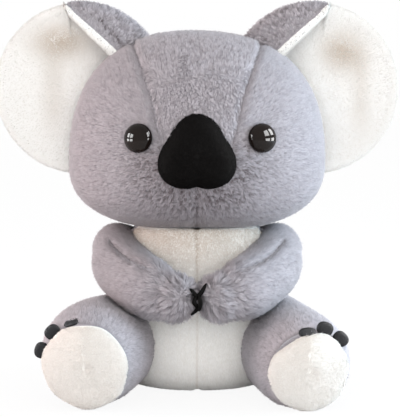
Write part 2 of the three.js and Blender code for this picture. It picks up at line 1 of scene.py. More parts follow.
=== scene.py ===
import bpy
import numpy as np
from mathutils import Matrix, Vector


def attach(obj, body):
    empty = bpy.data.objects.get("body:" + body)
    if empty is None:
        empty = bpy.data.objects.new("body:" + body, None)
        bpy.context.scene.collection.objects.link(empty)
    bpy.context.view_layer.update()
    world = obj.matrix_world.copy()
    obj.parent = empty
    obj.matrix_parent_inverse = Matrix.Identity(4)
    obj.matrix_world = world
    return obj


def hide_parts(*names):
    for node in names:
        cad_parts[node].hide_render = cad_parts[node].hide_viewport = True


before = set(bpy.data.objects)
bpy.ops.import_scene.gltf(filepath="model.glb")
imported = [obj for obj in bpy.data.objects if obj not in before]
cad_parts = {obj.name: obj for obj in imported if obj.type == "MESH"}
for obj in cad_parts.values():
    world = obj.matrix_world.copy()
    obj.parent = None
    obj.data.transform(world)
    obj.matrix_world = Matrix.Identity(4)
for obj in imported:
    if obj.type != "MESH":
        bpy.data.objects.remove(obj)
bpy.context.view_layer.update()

# Seated plush koala. Shapes are worked out in millimetres and go into the meshes in metres.
mm = 0.001
furShare = 1.0  # share of the strands that is made
sides = ((-1, "left"), (1, "right"))  # the side of x, and its name as seen from the front
buried = 3  # fur roots deeper than this inside a neighbour are left out
lowest = 0.6  # skins stay this far above the floor, which leaves room for their pile


def unit(vectors):
    return vectors / np.maximum(np.linalg.norm(vectors, axis=-1, keepdims=True), 1e-9)


def smooth(values, low, high):  # 0 below low, 1 above high, an S between
    share = np.clip((values - low) / (high - low), 0, 1)
    return share * share * (3 - 2 * share)


def bell(distance, width):  # 1 in the middle, fading to both sides as a bell curve
    return np.exp(-(distance / width) ** 2)


def grown(leastAndMore, share):  # a least value and what a share from 0 to 1 adds to it
    least, more = leastAndMore
    return least + more * share


def hashed(cells, seed):  # one fixed random number from 0 to 1 for each whole-number cell
    with np.errstate(over="ignore"):
        mixed = cells.astype(np.int64) * np.array([73856093, 19349663, 83492791])
        value = (mixed[..., 0] ^ mixed[..., 1] ^ mixed[..., 2]) + seed * 2654435761
        value = (value ^ (value >> 13)) * 1274126177
        value = (value ^ (value >> 16)) & 0xFFFFFF
    return value / float(0xFFFFFF)


def cloud(points, size, seed):  # random numbers at the corners of a lattice, blended smoothly, -1 to 1
    place = points / size
    low = np.floor(place)
    share = place - low
    share = share * share * (3 - 2 * share)
    total = 0
    for corner in np.ndindex(2, 2, 2):
        weight = np.prod(np.where(corner, share, 1 - share), axis=-1)
        total = total + weight * hashed(low + corner, seed)
    return total * 2 - 1


def nearestTuft(points, size, seed):  # the closest of one random point in each cell of a lattice
    cell = np.floor(points / size)
    best = np.full(len(points), np.inf)
    tuft = points.copy()
    for step in np.ndindex(3, 3, 3):
        near = cell + np.array(step) - 1
        jitter = np.stack([hashed(near, seed + k) for k in range(3)], axis=-1)
        centre = (near + jitter) * size
        gap = np.sum((centre - points) ** 2, axis=-1)
        closer = gap < best
        best[closer] = gap[closer]
        tuft[closer] = centre[closer]
    return tuft


def flat(vectors, normals):  # vectors laid into the surface
    return unit(vectors - normals * np.sum(vectors * normals, axis=-1, keepdims=True))


def fullTurn(columns):  # angles all the way round
    return np.linspace(0, 2 * np.pi, columns, endpoint=False)


def crossAxes(axis, upright=(0, 0, 1)):  # two directions square to an axis and to each other
    sideways = unit(np.cross(axis, upright))
    return sideways, np.cross(sideways, axis)


def addObject(name, data):
    added = bpy.data.objects.new(name, data)
    bpy.context.scene.collection.objects.link(added)
    return added


def makeMesh(name, vertices, quads, triangles, uv=None):
    mesh = bpy.data.meshes.new(name)
    corners = np.concatenate([quads.ravel(), triangles.ravel()]).astype(np.int32)
    sizes = np.concatenate([np.full(len(quads), 4), np.full(len(triangles), 3)]).astype(np.int32)
    starts = np.concatenate([[0], np.cumsum(sizes)[:-1]]).astype(np.int32)
    mesh.vertices.add(len(vertices))
    mesh.loops.add(len(corners))
    mesh.polygons.add(len(sizes))
    mesh.vertices.foreach_set("co", (vertices * mm).astype(np.float32).ravel())
    mesh.loops.foreach_set("vertex_index", corners)
    mesh.polygons.foreach_set("loop_start", starts)
    mesh.polygons.foreach_set("loop_total", sizes)
    mesh.polygons.foreach_set("use_smooth", np.ones(len(sizes), bool))
    mesh.update(calc_edges=True)
    if uv is not None:
        layer = mesh.uv_layers.new(name="OFBake")
        layer.data.foreach_set("uv", uv[corners].astype(np.float32).ravel())
    return mesh


def addPiece(name, mesh, material, body, slotName, replaced=()):
    piece = addObject(name, mesh)
    mesh.materials.append(material)
    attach(piece, body)
    if replaced:
        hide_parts(*replaced)
    return piece


def gridNormals(points):  # cross product of the two directions of a grid whose rows are closed rings
    around = np.roll(points, -1, axis=1) - np.roll(points, 1, axis=1)
    along = np.gradient(points, axis=0)
    normals = unit(np.cross(around, along))
    outward = np.sum(normals * (points - points.mean(axis=1, keepdims=True)))
    return normals * (1 if outward > 0 else -1)


def closedSkin(name, points):  # rings of points, with one more point closing each end
    rows, columns = points.shape[:2]
    vertices = np.concatenate([points.reshape(-1, 3), [points[0].mean(axis=0), points[-1].mean(axis=0)]])
    here = np.arange(rows * columns).reshape(rows, columns)
    beside = np.roll(here, -1, axis=1)
    quads = np.stack([here[:-1], beside[:-1], beside[1:], here[1:]], axis=-1).reshape(-1, 4)
    ends = rows * columns
    first = np.stack([beside[0], here[0], np.full(columns, ends)], axis=-1)
    last = np.stack([here[-1], beside[-1], np.full(columns, ends + 1)], axis=-1)
    triangles = np.concatenate([first, last])
    a, b, c = vertices[quads[:, 0]], vertices[quads[:, 1]], vertices[quads[:, 2]]
    middle = vertices.mean(axis=0)
    volume = np.sum((a - middle) * np.cross(b - middle, c - middle))
    if volume < 0:  # faces look outwards
        quads, triangles = quads[:, ::-1], triangles[:, ::-1]
    return makeMesh(name, vertices, quads, triangles)


def addSkin(name, points, *details):  # a piece that is the closed skin of these rings
    return addPiece(name, closedSkin(name, points), *details)


def pickRoots(points, normals, perSquareMm, seed, field=None):
    # Random places on a grid, each cell holding as many as its area asks for. Gives the place, the
    # normal, the direction in which the rows run, and the value there of a field given on the grid.
    rng = np.random.default_rng(seed)
    right = np.roll(points, -1, axis=1)
    area = np.linalg.norm(np.cross(right[1:] - points[:-1], points[1:] - right[:-1]), axis=-1) / 2
    count = int(area.sum() * perSquareMm * furShare)
    edges = np.cumsum(area.ravel())
    chosen = np.searchsorted(edges, rng.random(count) * edges[-1])
    row, column = np.unravel_index(np.minimum(chosen, area.size - 1), area.shape)
    u, v = rng.random((2, count, 1))

    def between(values):
        beside = np.roll(values, -1, axis=1)
        low = values[row, column] * (1 - u) + beside[row, column] * u
        high = values[row + 1, column] * (1 - u) + beside[row + 1, column] * u
        return low * (1 - v) + high * v

    along = unit(points[row + 1, column] - points[row, column])
    value = np.zeros(count) if field is None else between(field[..., None])[:, 0]
    return between(points), unit(between(normals)), along, value


def addNode(tree, kind, values={}, **settings):  # a shader node, its settings and its sockets' values
    node = tree.nodes.new(kind)
    for setting, value in settings.items():
        setattr(node, setting, value)
    for socket, value in values.items():
        node.inputs[socket].default_value = value
    return node


def addRamp(tree, *stops):  # two places from 0 to 1, each with its colour
    ramp = addNode(tree, "ShaderNodeValToRGB")
    for element, (position, colour) in zip(ramp.color_ramp.elements, stops):
        element.position = position
        element.color = (*colour, 1)
    return ramp


def joinNodes(tree, *links):  # each link: a node, its output, the next node, its input
    for source, output, target, socket in links:
        tree.links.new(source.outputs[output], target.inputs[socket])


def newMaterial(name, values={}):  # the values go on the sockets of the Principled shader
    material = bpy.data.materials.new(name)
    material.use_nodes = True
    tree = material.node_tree
    shader = tree.nodes["Principled BSDF"]
    for socket, value in values.items():
        shader.inputs[socket].default_value = value
    return material, tree, shader


def plushFur(name, values):
    # Strands are darker at the root, each strand and each tuft has its own tone, and painted shade
    # turns the pile to its shade colour in folds, creases and between tufts.
    material, tree, shader = newMaterial(name, {
        "Roughness": 0.85, "Specular IOR Level": values["specular"],
        "Sheen Weight": values["sheen"], "Sheen Roughness": 0.4})
    strand = addNode(tree, "ShaderNodeAttribute", attribute_name="strand")
    channels = addNode(tree, "ShaderNodeSeparateColor")
    along = addRamp(tree, (0, values["root"]), (values["reach"], values["tip"]))
    tone = addNode(tree, "ShaderNodeMapRange", {
        "To Min": 1 - values["spread"], "To Max": 1 + values["spread"]})
    toned = addNode(tree, "ShaderNodeVectorMath", operation="SCALE")
    paintedShade = addNode(tree, "ShaderNodeMix", {7: (*values["paintedShade"], 1)}, data_type="RGBA")
    joinNodes(
        tree, (strand, "Color", channels, "Color"), (channels, "Red", along, "Fac"),
        (channels, "Green", tone, "Value"), (along, "Color", toned, 0), (tone, "Result", toned, "Scale"),
        (channels, "Blue", paintedShade, 0), (toned, "Vector", paintedShade, 6), (paintedShade, 2, shader, "Base Color"))
    return material


def grainMaterial(name, texture, output, grain, stops, values, relief=None):
    # A texture on Object coordinates goes through a ramp into the colour, and into a bump, whose
    # strength and depth in metres are in relief
    material, tree, shader = newMaterial(name, values)
    place = addNode(tree, "ShaderNodeTexCoord")
    pattern = addNode(tree, texture, grain)
    ramp = addRamp(tree, *stops)
    joinNodes(tree, (place, "Object", pattern, "Vector"), (pattern, output, ramp, "Fac"),
              (ramp, "Color", shader, "Base Color"))
    if relief:
        bump = addNode(tree, "ShaderNodeBump", {"Strength": relief[0], "Distance": relief[1]})
        joinNodes(tree, (pattern, output, bump, "Height"), (bump, "Normal", shader, "Normal"))
    return material, tree, shader, place, ramp


def clothBacking(name, values):  # knitted backing under the pile: fine loops, and grey behind a seam
    material, tree, shader, place, ramp = grainMaterial(
        name, "ShaderNodeTexVoronoi", "Distance", {"Scale": 900}, ((0, values["light"]), (1, values["dark"])),
        {"Roughness": 0.95, "Specular IOR Level": 0.1}, (0.4, 0.0006))
    if "seam" in values:
        axes = addNode(tree, "ShaderNodeSeparateXYZ")
        behind = addNode(tree, "ShaderNodeMath", {1: values["seam"]}, operation="GREATER_THAN")
        sides = addNode(tree, "ShaderNodeMix", {7: (*values["behind"], 1)}, data_type="RGBA")
        joinNodes(
            tree, (place, "Object", axes, "Vector"), (axes, "Y", behind, 0), (behind, "Value", sides, 0),
            (ramp, "Color", sides, 6), (sides, 2, shader, "Base Color"))
    return material


def velvet(name, values):  # short black nap: fine noise in colour and height, with a dull sheen
    return grainMaterial(
        name, "ShaderNodeTexNoise", "Fac", {"Scale": values["grain"], "Detail": 5},
        ((0.35, values["dark"]), (0.75, values["light"])), {
            "Roughness": values["roughness"], "Specular IOR Level": values["specular"],
            "Sheen Weight": values["sheen"], "Sheen Roughness": 0.5}, (0.5, 0.0005))[0]


creamLoops = {"light": (0.94, 0.915, 0.88), "dark": (0.88, 0.855, 0.81)}
# Each fur's paintedShade colour is painted shade, mixed in where the pile lies in folds, creases and gaps
greyFur = plushFur("greyFur", {
    "root": (0.34, 0.313, 0.332), "tip": (0.43, 0.398, 0.425), "paintedShade": (0.12, 0.095, 0.10),
    "reach": 0.7, "spread": 0.4, "sheen": 0.12, "specular": 0.15})
creamFur = plushFur("creamFur", {
    "root": (0.93, 0.90, 0.86), "tip": (0.97, 0.955, 0.93), "paintedShade": (0.55, 0.45, 0.36),
    "reach": 0.7, "spread": 0.25, "sheen": 0.15, "specular": 0.15})
blackNap = plushFur("blackNap", {
    "root": (0.002, 0.002, 0.002), "tip": (0.005, 0.0042, 0.004), "paintedShade": (0.001, 0.001, 0.001),
    "reach": 0.8, "spread": 0.3, "sheen": 0.0, "specular": 0.03})
greyCloth = clothBacking("greyCloth", {"light": (0.40, 0.375, 0.40), "dark": (0.34, 0.32, 0.34)})
creamCloth = clothBacking("creamCloth", creamLoops)
torsoCloth = clothBacking("torsoCloth", {**creamLoops, "behind": (0.37, 0.35, 0.37), "seam": -0.014})
blackVelvet = velvet("blackVelvet", {
    "grain": 900, "dark": (0.002, 0.002, 0.002), "light": (0.006, 0.005, 0.0047),
    "roughness": 0.8, "specular": 0.04, "sheen": 0.0})
blackFelt = velvet("blackFelt", {
    "grain": 1500, "dark": (0.003, 0.003, 0.004), "light": (0.014, 0.014, 0.017),
    "roughness": 0.6, "specular": 0.2, "sheen": 0.02})
eyeGloss = grainMaterial(
    "eyeGloss", "ShaderNodeTexNoise", "Fac", {"Scale": 60},
    ((0, (0.005, 0.0035, 0.003)), (1, (0.014, 0.009, 0.007))),
    {"Roughness": 0.04, "Specular IOR Level": 0.16})[0]
print("materials made")

plainPile = {
    "length": 3.4, "lean": 67, "leanSpread": 4, "width": 0.38, "wave": 0.25, "waveSize": 18,
    "tuftSize": 2.2, "draw": 0.08, "turn": 0.12, "frizz": 0.12, "twist": 0.3, "tone": 0.1, "gapShade": 0.0}
# The ruffled pile has more painted shade, gapShade, in the gaps between its tufts
ruffledPile = {
    "lean": -22, "leanSpread": 10, "draw": 0.6, "turn": 0.7, "frizz": 0.2, "tone": 0.3, "gapShade": 0.6}
strandLook = {
    "rootDepth": 0.6, "lowLean": 0.7, "highLean": 1.15, "leans": (5, 76), "lengths": (0.8, 0.4),
    "widths": (0.8, 0.4), "tuftLengths": (0.9, 0.2), "draftWidth": 1.7, "floor": 0.2, "leanScatter": 4,
    "drawMiddle": 0.4, "drawTip": 0.6, "gapTufts": 0.6, "paintedShadeAlong": (1.3, 1, 1, 0.7),
    "shadingLean": 0.2, "shadingScatter": 0.08}


def makeFur(name, roots, normals, flow, look, material, body, slotName, share=1.0, shade=0.0, ruffle=0.0):
    # Each strand is a kite of four points: root, a pair in the middle, tip. It leans from the normal
    # towards the flow, bends further on its way, and its tip is drawn to the middle of its tuft.
    # share scales the length, shade mixes painted shade into the colour, or is painted light below 0,
    # and ruffle, 0 to 1, adds what the ruffled pile has more. Lengths and widths are a least value and a
    # random addition.
    rng = np.random.default_rng(look["seed"])
    count = len(roots)
    ruffle = np.broadcast_to(ruffle, count)
    look = {**look, **{key: look[key] + more * ruffle for key, more in ruffledPile.items()}}
    wobble = np.stack([cloud(roots, look["waveSize"], look["seed"] + k) for k in range(3)], axis=-1)
    tuft = nearestTuft(roots, look["tuftSize"], look["seed"] + 7)
    cell = np.floor(tuft * 16)
    tuftTone, tuftLean = hashed(cell, look["seed"] + 11), hashed(cell, look["seed"] + 12)
    tuftTurn = np.stack([hashed(cell, look["seed"] + 13 + k) for k in range(3)], axis=-1) * 2 - 1
    flow = flat(unit(flow) + wobble * look["wave"] + tuftTurn * look["turn"][:, None], normals)
    length = look["length"] * grown(strandLook["lengths"], rng.random(count))
    length = (length * grown(strandLook["tuftLengths"], tuftTone) * share)[:, None]
    lean = look["lean"] + look["leanSpread"] * (tuftLean * 2 - 1)
    lean = lean + rng.normal(0, strandLook["leanScatter"], count)
    lean = np.radians(np.clip(lean, *strandLook["leans"]))[:, None]
    start, end = (
        np.cos(lean * strandLook[part]) * normals + np.sin(lean * strandLook[part]) * flow
        for part in ("lowLean", "highLean"))
    draw = tuft - roots
    draw = (draw - normals * np.sum(draw * normals, axis=-1, keepdims=True)) * look["draw"][:, None]
    frizz = rng.normal(0, 1, (count, 3)) * look["frizz"][:, None]
    middle = roots + start * length * 0.5 + draw * strandLook["drawMiddle"]
    tip = middle + end * length * 0.5 + draw * strandLook["drawTip"] + frizz
    across = unit(np.cross(end, normals))
    upright = unit(np.cross(across, end))
    twist = rng.normal(0, look["twist"], count)[:, None]
    across = unit(across * np.cos(twist) + upright * np.sin(twist))
    half = look["width"] / 2 * grown(strandLook["widths"], rng.random(count))[:, None]
    half = half * 1
    bottom = roots - normals * strandLook["rootDepth"]
    vertices = np.stack([bottom, middle + across * half, middle - across * half, tip], axis=1)
    vertices[..., 2] = np.maximum(vertices[..., 2], strandLook["floor"])
    base = np.arange(count)[:, None] * 4
    triangles = np.concatenate([base + np.array([0, 1, 2]), base + np.array([2, 1, 3])])
    side = int(np.ceil(np.sqrt(count)))  # every strand has its own square of the bake's picture
    square = np.stack([np.arange(count) % side, np.arange(count) // side], axis=-1)[:, None, :]
    kite = np.array([[0.5, 0.04], [0.94, 0.5], [0.06, 0.5], [0.5, 0.96]])
    uv = ((square + kite) / side).reshape(-1, 2)
    mesh = makeMesh(name, vertices.reshape(-1, 3), np.zeros((0, 4), int), triangles, uv)
    scatter = strandLook["shadingScatter"] * rng.normal(0, 1, (count, 3))
    shading = unit(normals + strandLook["shadingLean"] * end + scatter)
    mesh.normals_split_custom_set_from_vertices(np.repeat(shading, 4, axis=0))
    # A shade below 0 is painted light, which lightens the strand's tone
    tone = 0.5 + look["tone"] * (rng.normal(0, 0.5, count) + tuftTone - 0.5) - np.minimum(shade, 0)
    # Painted shade: the shade given, and more on the darker tufts as shade in the gaps between them,
    # strongest at the root
    paintedShade = np.maximum(shade, 0) + look["gapShade"] * (1 - smooth(tuftTone, 0, strandLook["gapTufts"]))
    colour = np.ones((count, 4, 4), np.float32)
    colour[:, :, 0] = [0, 0.5, 0.5, 1]
    colour[:, :, 1] = np.clip(tone, 0, 1)[:, None]
    colour[:, :, 2] = np.clip(paintedShade[:, None] * strandLook["paintedShadeAlong"], 0, 1)
    layer = mesh.attributes.new("strand", "FLOAT_COLOR", "POINT")
    layer.data.foreach_set("color", colour.ravel())
    print(name, count, "strands")
    return addPiece(name, mesh, material, body, slotName)


headForm = {
    "centre": (0, 0, 160.7), "halfWidth": 91.5, "front": 72, "back": 66, "rise": 93.5, "drop": 49,
    "risePower": 2.4, "dropPower": 2.48, "sidePower": 2.3,
    "swell": 8, "swellWidth": 36, "swellHeight": 30, "swellRise": 8, "low": 116.6, "high": 400}
torsoForm = {
    "centre": (0, 0, 40), "halfWidth": 62, "front": 58, "back": 54, "rise": 95, "drop": 40.5,
    "risePower": 2.6, "dropPower": 4.5, "sidePower": 2.2,
    "swell": 0, "swellWidth": 36, "swellHeight": 30, "swellRise": 8, "low": lowest, "high": 115.8}


def reach(form, way):  # distance from the centre to the outline along a direction, by superellipses
    x, y, z = way[..., 0], way[..., 1], way[..., 2]
    depth = np.where(y < 0, form["front"], form["back"])
    height = np.where(z < 0, form["drop"], form["rise"])
    power = np.where(z < 0, form["dropPower"], form["risePower"])
    side = form["sidePower"]
    level = (np.abs(x / form["halfWidth"]) ** side + np.abs(y / depth) ** side) ** (power / side)
    distance = (level + np.abs(z / height) ** power) ** (-1 / power)
    sideways = x * distance / form["swellWidth"]
    upwards = (z * distance - form["swellRise"]) / form["swellHeight"]
    bulge = form["swell"] * np.exp(-(sideways ** 2) - upwards ** 2) * y ** 2
    return distance + np.where(y < 0, bulge, 0)


def roundForm(form, inset, rows, columns):  # rings of latitude, each point at its reach from the centre
    tilt = np.linspace(-np.pi / 2, np.pi / 2, rows + 2)[1:-1, None]
    turn = fullTurn(columns)[None, :]
    way = np.stack([
        np.cos(tilt) * np.cos(turn), np.cos(tilt) * np.sin(turn), np.sin(tilt) + 0 * turn], axis=-1)
    points = way * (reach(form, way) - inset)[..., None] + np.array(form["centre"])
    points[..., 2] = np.clip(points[..., 2], form["low"], form["high"])
    return points


def depthInside(form, places):  # how far a place lies inside a form, less than 0 outside it
    offset = places - np.array(form["centre"])
    return reach(form, unit(offset)) - np.linalg.norm(offset, axis=-1)


def faceSeat(x, z):  # the place on the front of the head at x and z, and the normal there
    low, high = 0.0, -90.0
    for _ in range(40):
        y = (low + high) / 2
        if depthInside(headForm, np.array([x, y, z])) > 0:
            low = y
        else:
            high = y
    seat = np.array([x, y, z])
    steps = np.eye(3) * 0.5
    slope = depthInside(headForm, seat - steps) - depthInside(headForm, seat + steps)
    return seat, unit(slope)


# Arms and legs: a path of points with a radius at each, for the right side; the left is mirrored
armShape = {
    "path": [(56, 0, 97), (51, -30, 87), (34, -67, 78), (14.5, -79, 72.5)],
    "radii": [20.4, 22.5, 22.2, 17], "endBulge": 15, "crease": 116, "creaseDepth": 2.2, "creaseEnd": 0.92}
legShapes = {
    -1: {"path": [(52, 6, 32.5), (69, -72, 35), (74.5, -106, 30)],
         "radii": [33, 35.5, 29.5], "endBulge": 1.5, "crease": 0, "creaseDepth": 0, "creaseEnd": 1},
    1: {"path": [(52, 6, 32.5), (69, -72, 30), (74.5, -106, 27)],
        "radii": [33, 33.5, 27.5], "endBulge": 1.5, "crease": 0, "creaseDepth": 0, "creaseEnd": 1}}
creaseLook = {"width": 2.4, "fadeIn": (0.1, 0.3), "fadeOut": 0.2, "fadedGap": 7}


def throughPoints(knots, share):  # Catmull-Rom: place, direction, the stretch and the share along it
    knots = np.array(knots, float)
    stretches = len(knots) - 1
    knots = np.concatenate([[2 * knots[0] - knots[1]], knots, [2 * knots[-1] - knots[-2]]])
    place = np.clip(share, 0, 1) * stretches
    index = np.minimum(place.astype(int), stretches - 1)
    t = (place - index)[:, None]
    a, b, c, d = (knots[index + k] for k in range(4))
    linear, square, cube = c - a, 2 * a - 5 * b + 4 * c - d, 3 * b - 3 * c + d - a
    centre = 0.5 * (2 * b + linear * t + square * t ** 2 + cube * t ** 3)
    tangent = unit(0.5 * (linear + 2 * square * t + 3 * cube * t ** 2))
    return centre, tangent, index, t[:, 0]


def limbPath(shape, share):  # the path with its radius, blended smoothly from point to point
    centre, tangent, index, t = throughPoints(shape["path"], share)
    ease = t * t * (3 - 2 * t)
    radii = np.array(shape["radii"], float)
    return centre, tangent, radii[index] * (1 - ease) + radii[index + 1] * ease


def limbForm(shape, inset, rows, columns):
    # Round sections along the path, domed at both ends, with a crease along one side. Gives the
    # distance from the crease as well.
    centre, tangent, radius = limbPath(shape, np.linspace(0, 1, rows))
    dome = np.linspace(np.pi / 2, 0, 14)[1:-1]
    firstRadius, lastRadius = radius[0] - inset, radius[-1] - inset
    bulge = shape["endBulge"] - min(inset, shape["endBulge"] / 2)
    startCentre = centre[0] - tangent[0] * (firstRadius * np.sin(dome))[:, None]
    endCentre = centre[-1] + tangent[-1] * (bulge * np.sin(dome[::-1]))[:, None]
    centres = np.concatenate([startCentre, centre, endCentre])
    caps = [np.repeat(tangent[:1], len(dome), 0), np.repeat(tangent[-1:], len(dome), 0)]
    tangents = np.concatenate([caps[0], tangent, caps[1]])
    radii = np.concatenate([firstRadius * np.cos(dome), radius - inset, lastRadius * np.cos(dome[::-1])])
    sideways, upwards = crossAxes(tangents)
    turn = fullTurn(columns)
    share = np.concatenate([0 * dome, np.linspace(0, 1, rows), 0 * dome + 1])[:, None]
    fadesOut = smooth(share, shape["creaseEnd"] - creaseLook["fadeOut"], shape["creaseEnd"])
    faded = 1 - smooth(share, *creaseLook["fadeIn"]) * (1 - fadesOut)
    fromCrease = np.abs(turn - np.radians(shape["crease"])) * radii[:, None]
    fromCrease = fromCrease + creaseLook["fadedGap"] * faded
    radii = radii[:, None] - shape["creaseDepth"] * bell(fromCrease, creaseLook["width"])
    turn = turn[None, :, None]
    return fromCrease, centres[:, None] + radii[..., None] * (
        sideways[:, None] * np.cos(turn) + upwards[:, None] * np.sin(turn))


def limbDepth(shape, side, places):  # how far places lie inside a limb, from the nearest of its stations
    centre, _, radius = limbPath(shape, np.linspace(0, 1, 24))
    away = np.linalg.norm((places * [side, 1, 1])[:, None] - centre[None], axis=-1)
    return np.max(radius[None] - away, axis=1)


def restPlane(side):  # where an arm rests on a leg: a point, and the normal towards the arm
    arm, leg = (np.array(shape["path"], float) for shape in (armShape, legShapes[side]))
    onArm = (arm[1] + arm[2]) / 2
    onLeg = leg[0] + (leg[1] - leg[0]) * (onArm[1] - leg[0][1]) / (leg[1][1] - leg[0][1])
    legRadius, armRadius = legShapes[side]["radii"][1], armShape["radii"][1]
    return onLeg + (onArm - onLeg) * legRadius / (legRadius + armRadius), unit(onArm - onLeg)


def keptBelow(points, point, normal, towards, room):  # points pressed flat against a plane
    depth = ((points - point) @ normal) * towards + room
    return points - (normal * towards) * np.maximum(depth, 0)[..., None]


headLook = {
    "inset": 2.0, "seamDepth": 2.2, "seamWidth": 2.4, "seamFade": 16, "eyeDent": 2.0, "eyeDentWidth": 13,
    "lumps": 0.7, "lumpSize": 28, "strandsPerMm2": 3.4, "chinSeamDrop": 10}
headFurLook = {
    "parting": (38, 76), "partingSway": 16, "seamShade": 0.35, "seamLine": 1.1, "gussetLight": -0.25,
    "faceShade": 0.06, "crownShade": 0.12, "muzzleReach": 20, "muzzleShade": 0.4, "gussetRuffle": 0.3,
    "leastRuffle": 0.1, "seamShare": 0.7, "eyeShare": 0.75, "eyeReach": 7, "seamReach": 4,
    "underNose": 2, "underEye": 0.6, "aboveNeck": 1, "frontFade": (-30, 30), "swaySize": 9,
    "startDepth": 12, "backFlow": (0, 0.3, -1.0), "browFlow": (0, -0.15, -1.0), "crownFlow": (0, 1.0, 0.8),
    "muzzleTop": 12, "muzzleFade": 16, "browRuffle": (0.4, 0.6)}
gussetFront = np.array([
    [0.06, -0.1], [0.2, 0], [0.29, 0.28], [0.34, 0.5], [0.42, 0.72], [0.5, 0.9], [0.5, 2]])
gussetBack = np.array([
    [0.16, -1.12], [0.24, -0.2], [0.32, 0.2], [0.4, 0.5], [0.45, 0.72], [0.5, 0.9], [0.5, 2]])
eyeLook = {
    "spread": 42, "shift": 2.2, "rise": 19.5, "radius": 10.1, "dome": 6.5, "rim": 1.0, "back": -0.9,
    "stemRadius": 2.2, "stemLength": 12}
noseLook = {
    "rise": 8.3, "radius": 25.1, "corner": 2.7, "bulge": 14, "puff": 0.45, "sink": 6, "notch": 1.6,
    "notchWidth": 0.16, "tiltBack": 0.22, "strandsPerMm2": 4,
    "nap": {"seed": 16, "length": 1.1, "lean": 60, "width": 0.3}}
noseHeight = headForm["centre"][2] + noseLook["rise"]
noseSeat, _ = faceSeat(0.0, noseHeight)


def gussetHalfWidth(places):  # half the width of the crown gusset at a height, before and behind
    height = (places[..., 2] - headForm["centre"][2]) / headForm["rise"]
    front = np.interp(height, gussetFront[:, 1], gussetFront[:, 0])
    back = np.interp(height, gussetBack[:, 1], gussetBack[:, 0])
    return np.where(places[..., 1] < 0, front, back) * headForm["halfWidth"]


def seamDistance(places):  # distance to the nearest seam of the head: the gusset's two and the chin's
    across = np.abs(places[..., 0])
    belowNose = (places[..., 1] < 0) & (places[..., 2] < noseHeight - headLook["chinSeamDrop"])
    return np.where(belowNose, across, np.abs(across - gussetHalfWidth(places)))


eyeSeats = {
    side: faceSeat(side * eyeLook["spread"] + eyeLook["shift"], headForm["centre"][2] + eyeLook["rise"])
    for side in (-1, 1)}


def eyeDistance(places):
    return np.min([np.linalg.norm(places - seat, axis=-1) for seat, _ in eyeSeats.values()], axis=0)


def noseOutline(turn):  # a circle drawn out at the top and at the two lower corners
    return noseLook["radius"] - noseLook["corner"] * np.sin(3 * turn)


headPoints = roundForm(headForm, headLook["inset"], 130, 190)
headNormals = gridNormals(headPoints)
dent = headLook["seamDepth"] * bell(seamDistance(headPoints), headLook["seamWidth"])
dent = dent * smooth(headPoints[..., 2] - headForm["low"] + 2, 0, headLook["seamFade"])
dent = dent + headLook["eyeDent"] * bell(eyeDistance(headPoints), headLook["eyeDentWidth"])
dent = dent - headLook["lumps"] * cloud(headPoints, headLook["lumpSize"], 3)
headPoints = headPoints - headNormals * dent[..., None]
headPoints[..., 2] = np.maximum(headPoints[..., 2], headForm["low"])
headNormals = gridNormals(headPoints)
headSkin = addSkin(
    "headSkin", headPoints, greyCloth, "head", "grey_plush",
    ("head_gusset", "head_side_left", "head_side_right", "head_filling"))


def noseDistance(places):  # distance from the nose's outline, seen from the front, less than 0 inside it
    right, up = places[:, 0], places[:, 2] - noseHeight
    return np.hypot(right, up) - noseOutline(np.arctan2(up, right))


# No fur under the nose and the eyes or on the neck. It runs outwards from the nose, down the gusset
# as far as a swaying parting, up from there, and down the back of the head.
look = headFurLook
place, normal, _, _ = pickRoots(headPoints, headNormals, headLook["strandsPerMm2"], 11)
underNose = (place[:, 1] < 0) & (noseDistance(place) < -look["underNose"])
underEye = eyeDistance(place) <= eyeLook["radius"] - look["underEye"]
good = (place[:, 2] > headForm["low"] + look["aboveNeck"]) & ~underNose & ~underEye
place, normal = place[good], normal[good]
facing = smooth(-place[:, 1], *look["frontFade"])
halfWidth = gussetHalfWidth(place)
inGusset = smooth(halfWidth - np.abs(place[:, 0]), -0.5, 0.5) * (place[:, 2] > noseHeight) * facing
parting = place[:, 2] + look["partingSway"] * cloud(place, look["swaySize"], 7) - noseHeight
crown = smooth(parting, *look["parting"])[:, None]
outFlow = unit(place - noseSeat - np.array([0, look["startDepth"], 0]))
flow = outFlow * facing[:, None] + (1 - facing[:, None]) * np.array(look["backFlow"])
gussetFlow = np.array(look["browFlow"]) * (1 - crown) + np.array(look["crownFlow"]) * crown
flow = flow * (1 - inGusset[:, None]) + gussetFlow * inGusset[:, None]
seamGap = seamDistance(place)
headShare = (look["seamShare"] + (1 - look["seamShare"]) * smooth(seamGap, 0, look["seamReach"])) * (
    look["eyeShare"] + (1 - look["eyeShare"]) * smooth(
        eyeDistance(place), eyeLook["radius"], eyeLook["radius"] + look["eyeReach"]))
lowNose = smooth(noseHeight + look["muzzleTop"] - place[:, 2], 0, look["muzzleFade"])
ruffle = bell(np.maximum(noseDistance(place), 0), look["muzzleReach"])
ruffle = ruffle * grown(look["browRuffle"], lowNose) * facing  # the muzzle is ruffled more than the brow
# Painted shade along the seams, on the front of the face, on the crown of the gusset and round the muzzle;
# gussetLight is painted light that makes the rest of the gusset lighter
headShade = (
    look["seamShade"] * bell(seamGap, look["seamLine"]) + look["faceShade"] * facing
    + (look["gussetLight"] + look["crownShade"] * crown[:, 0]) * inGusset
    + look["muzzleShade"] * ruffle * lowNose)
ruffle = np.maximum(np.maximum(ruffle, look["gussetRuffle"] * inGusset), look["leastRuffle"])
regions = {
    "headFurGusset": np.abs(place[:, 0]) < halfWidth,
    "headFurLeft": place[:, 0] <= -halfWidth, "headFurRight": place[:, 0] >= halfWidth}
for number, (name, chosen) in enumerate(regions.items()):
    makeFur(name, place[chosen], normal[chosen], flow[chosen], {**plainPile, "seed": 20 + number},
            greyFur, "head", "grey_plush", headShare[chosen], headShade[chosen], ruffle[chosen])
print("head made")

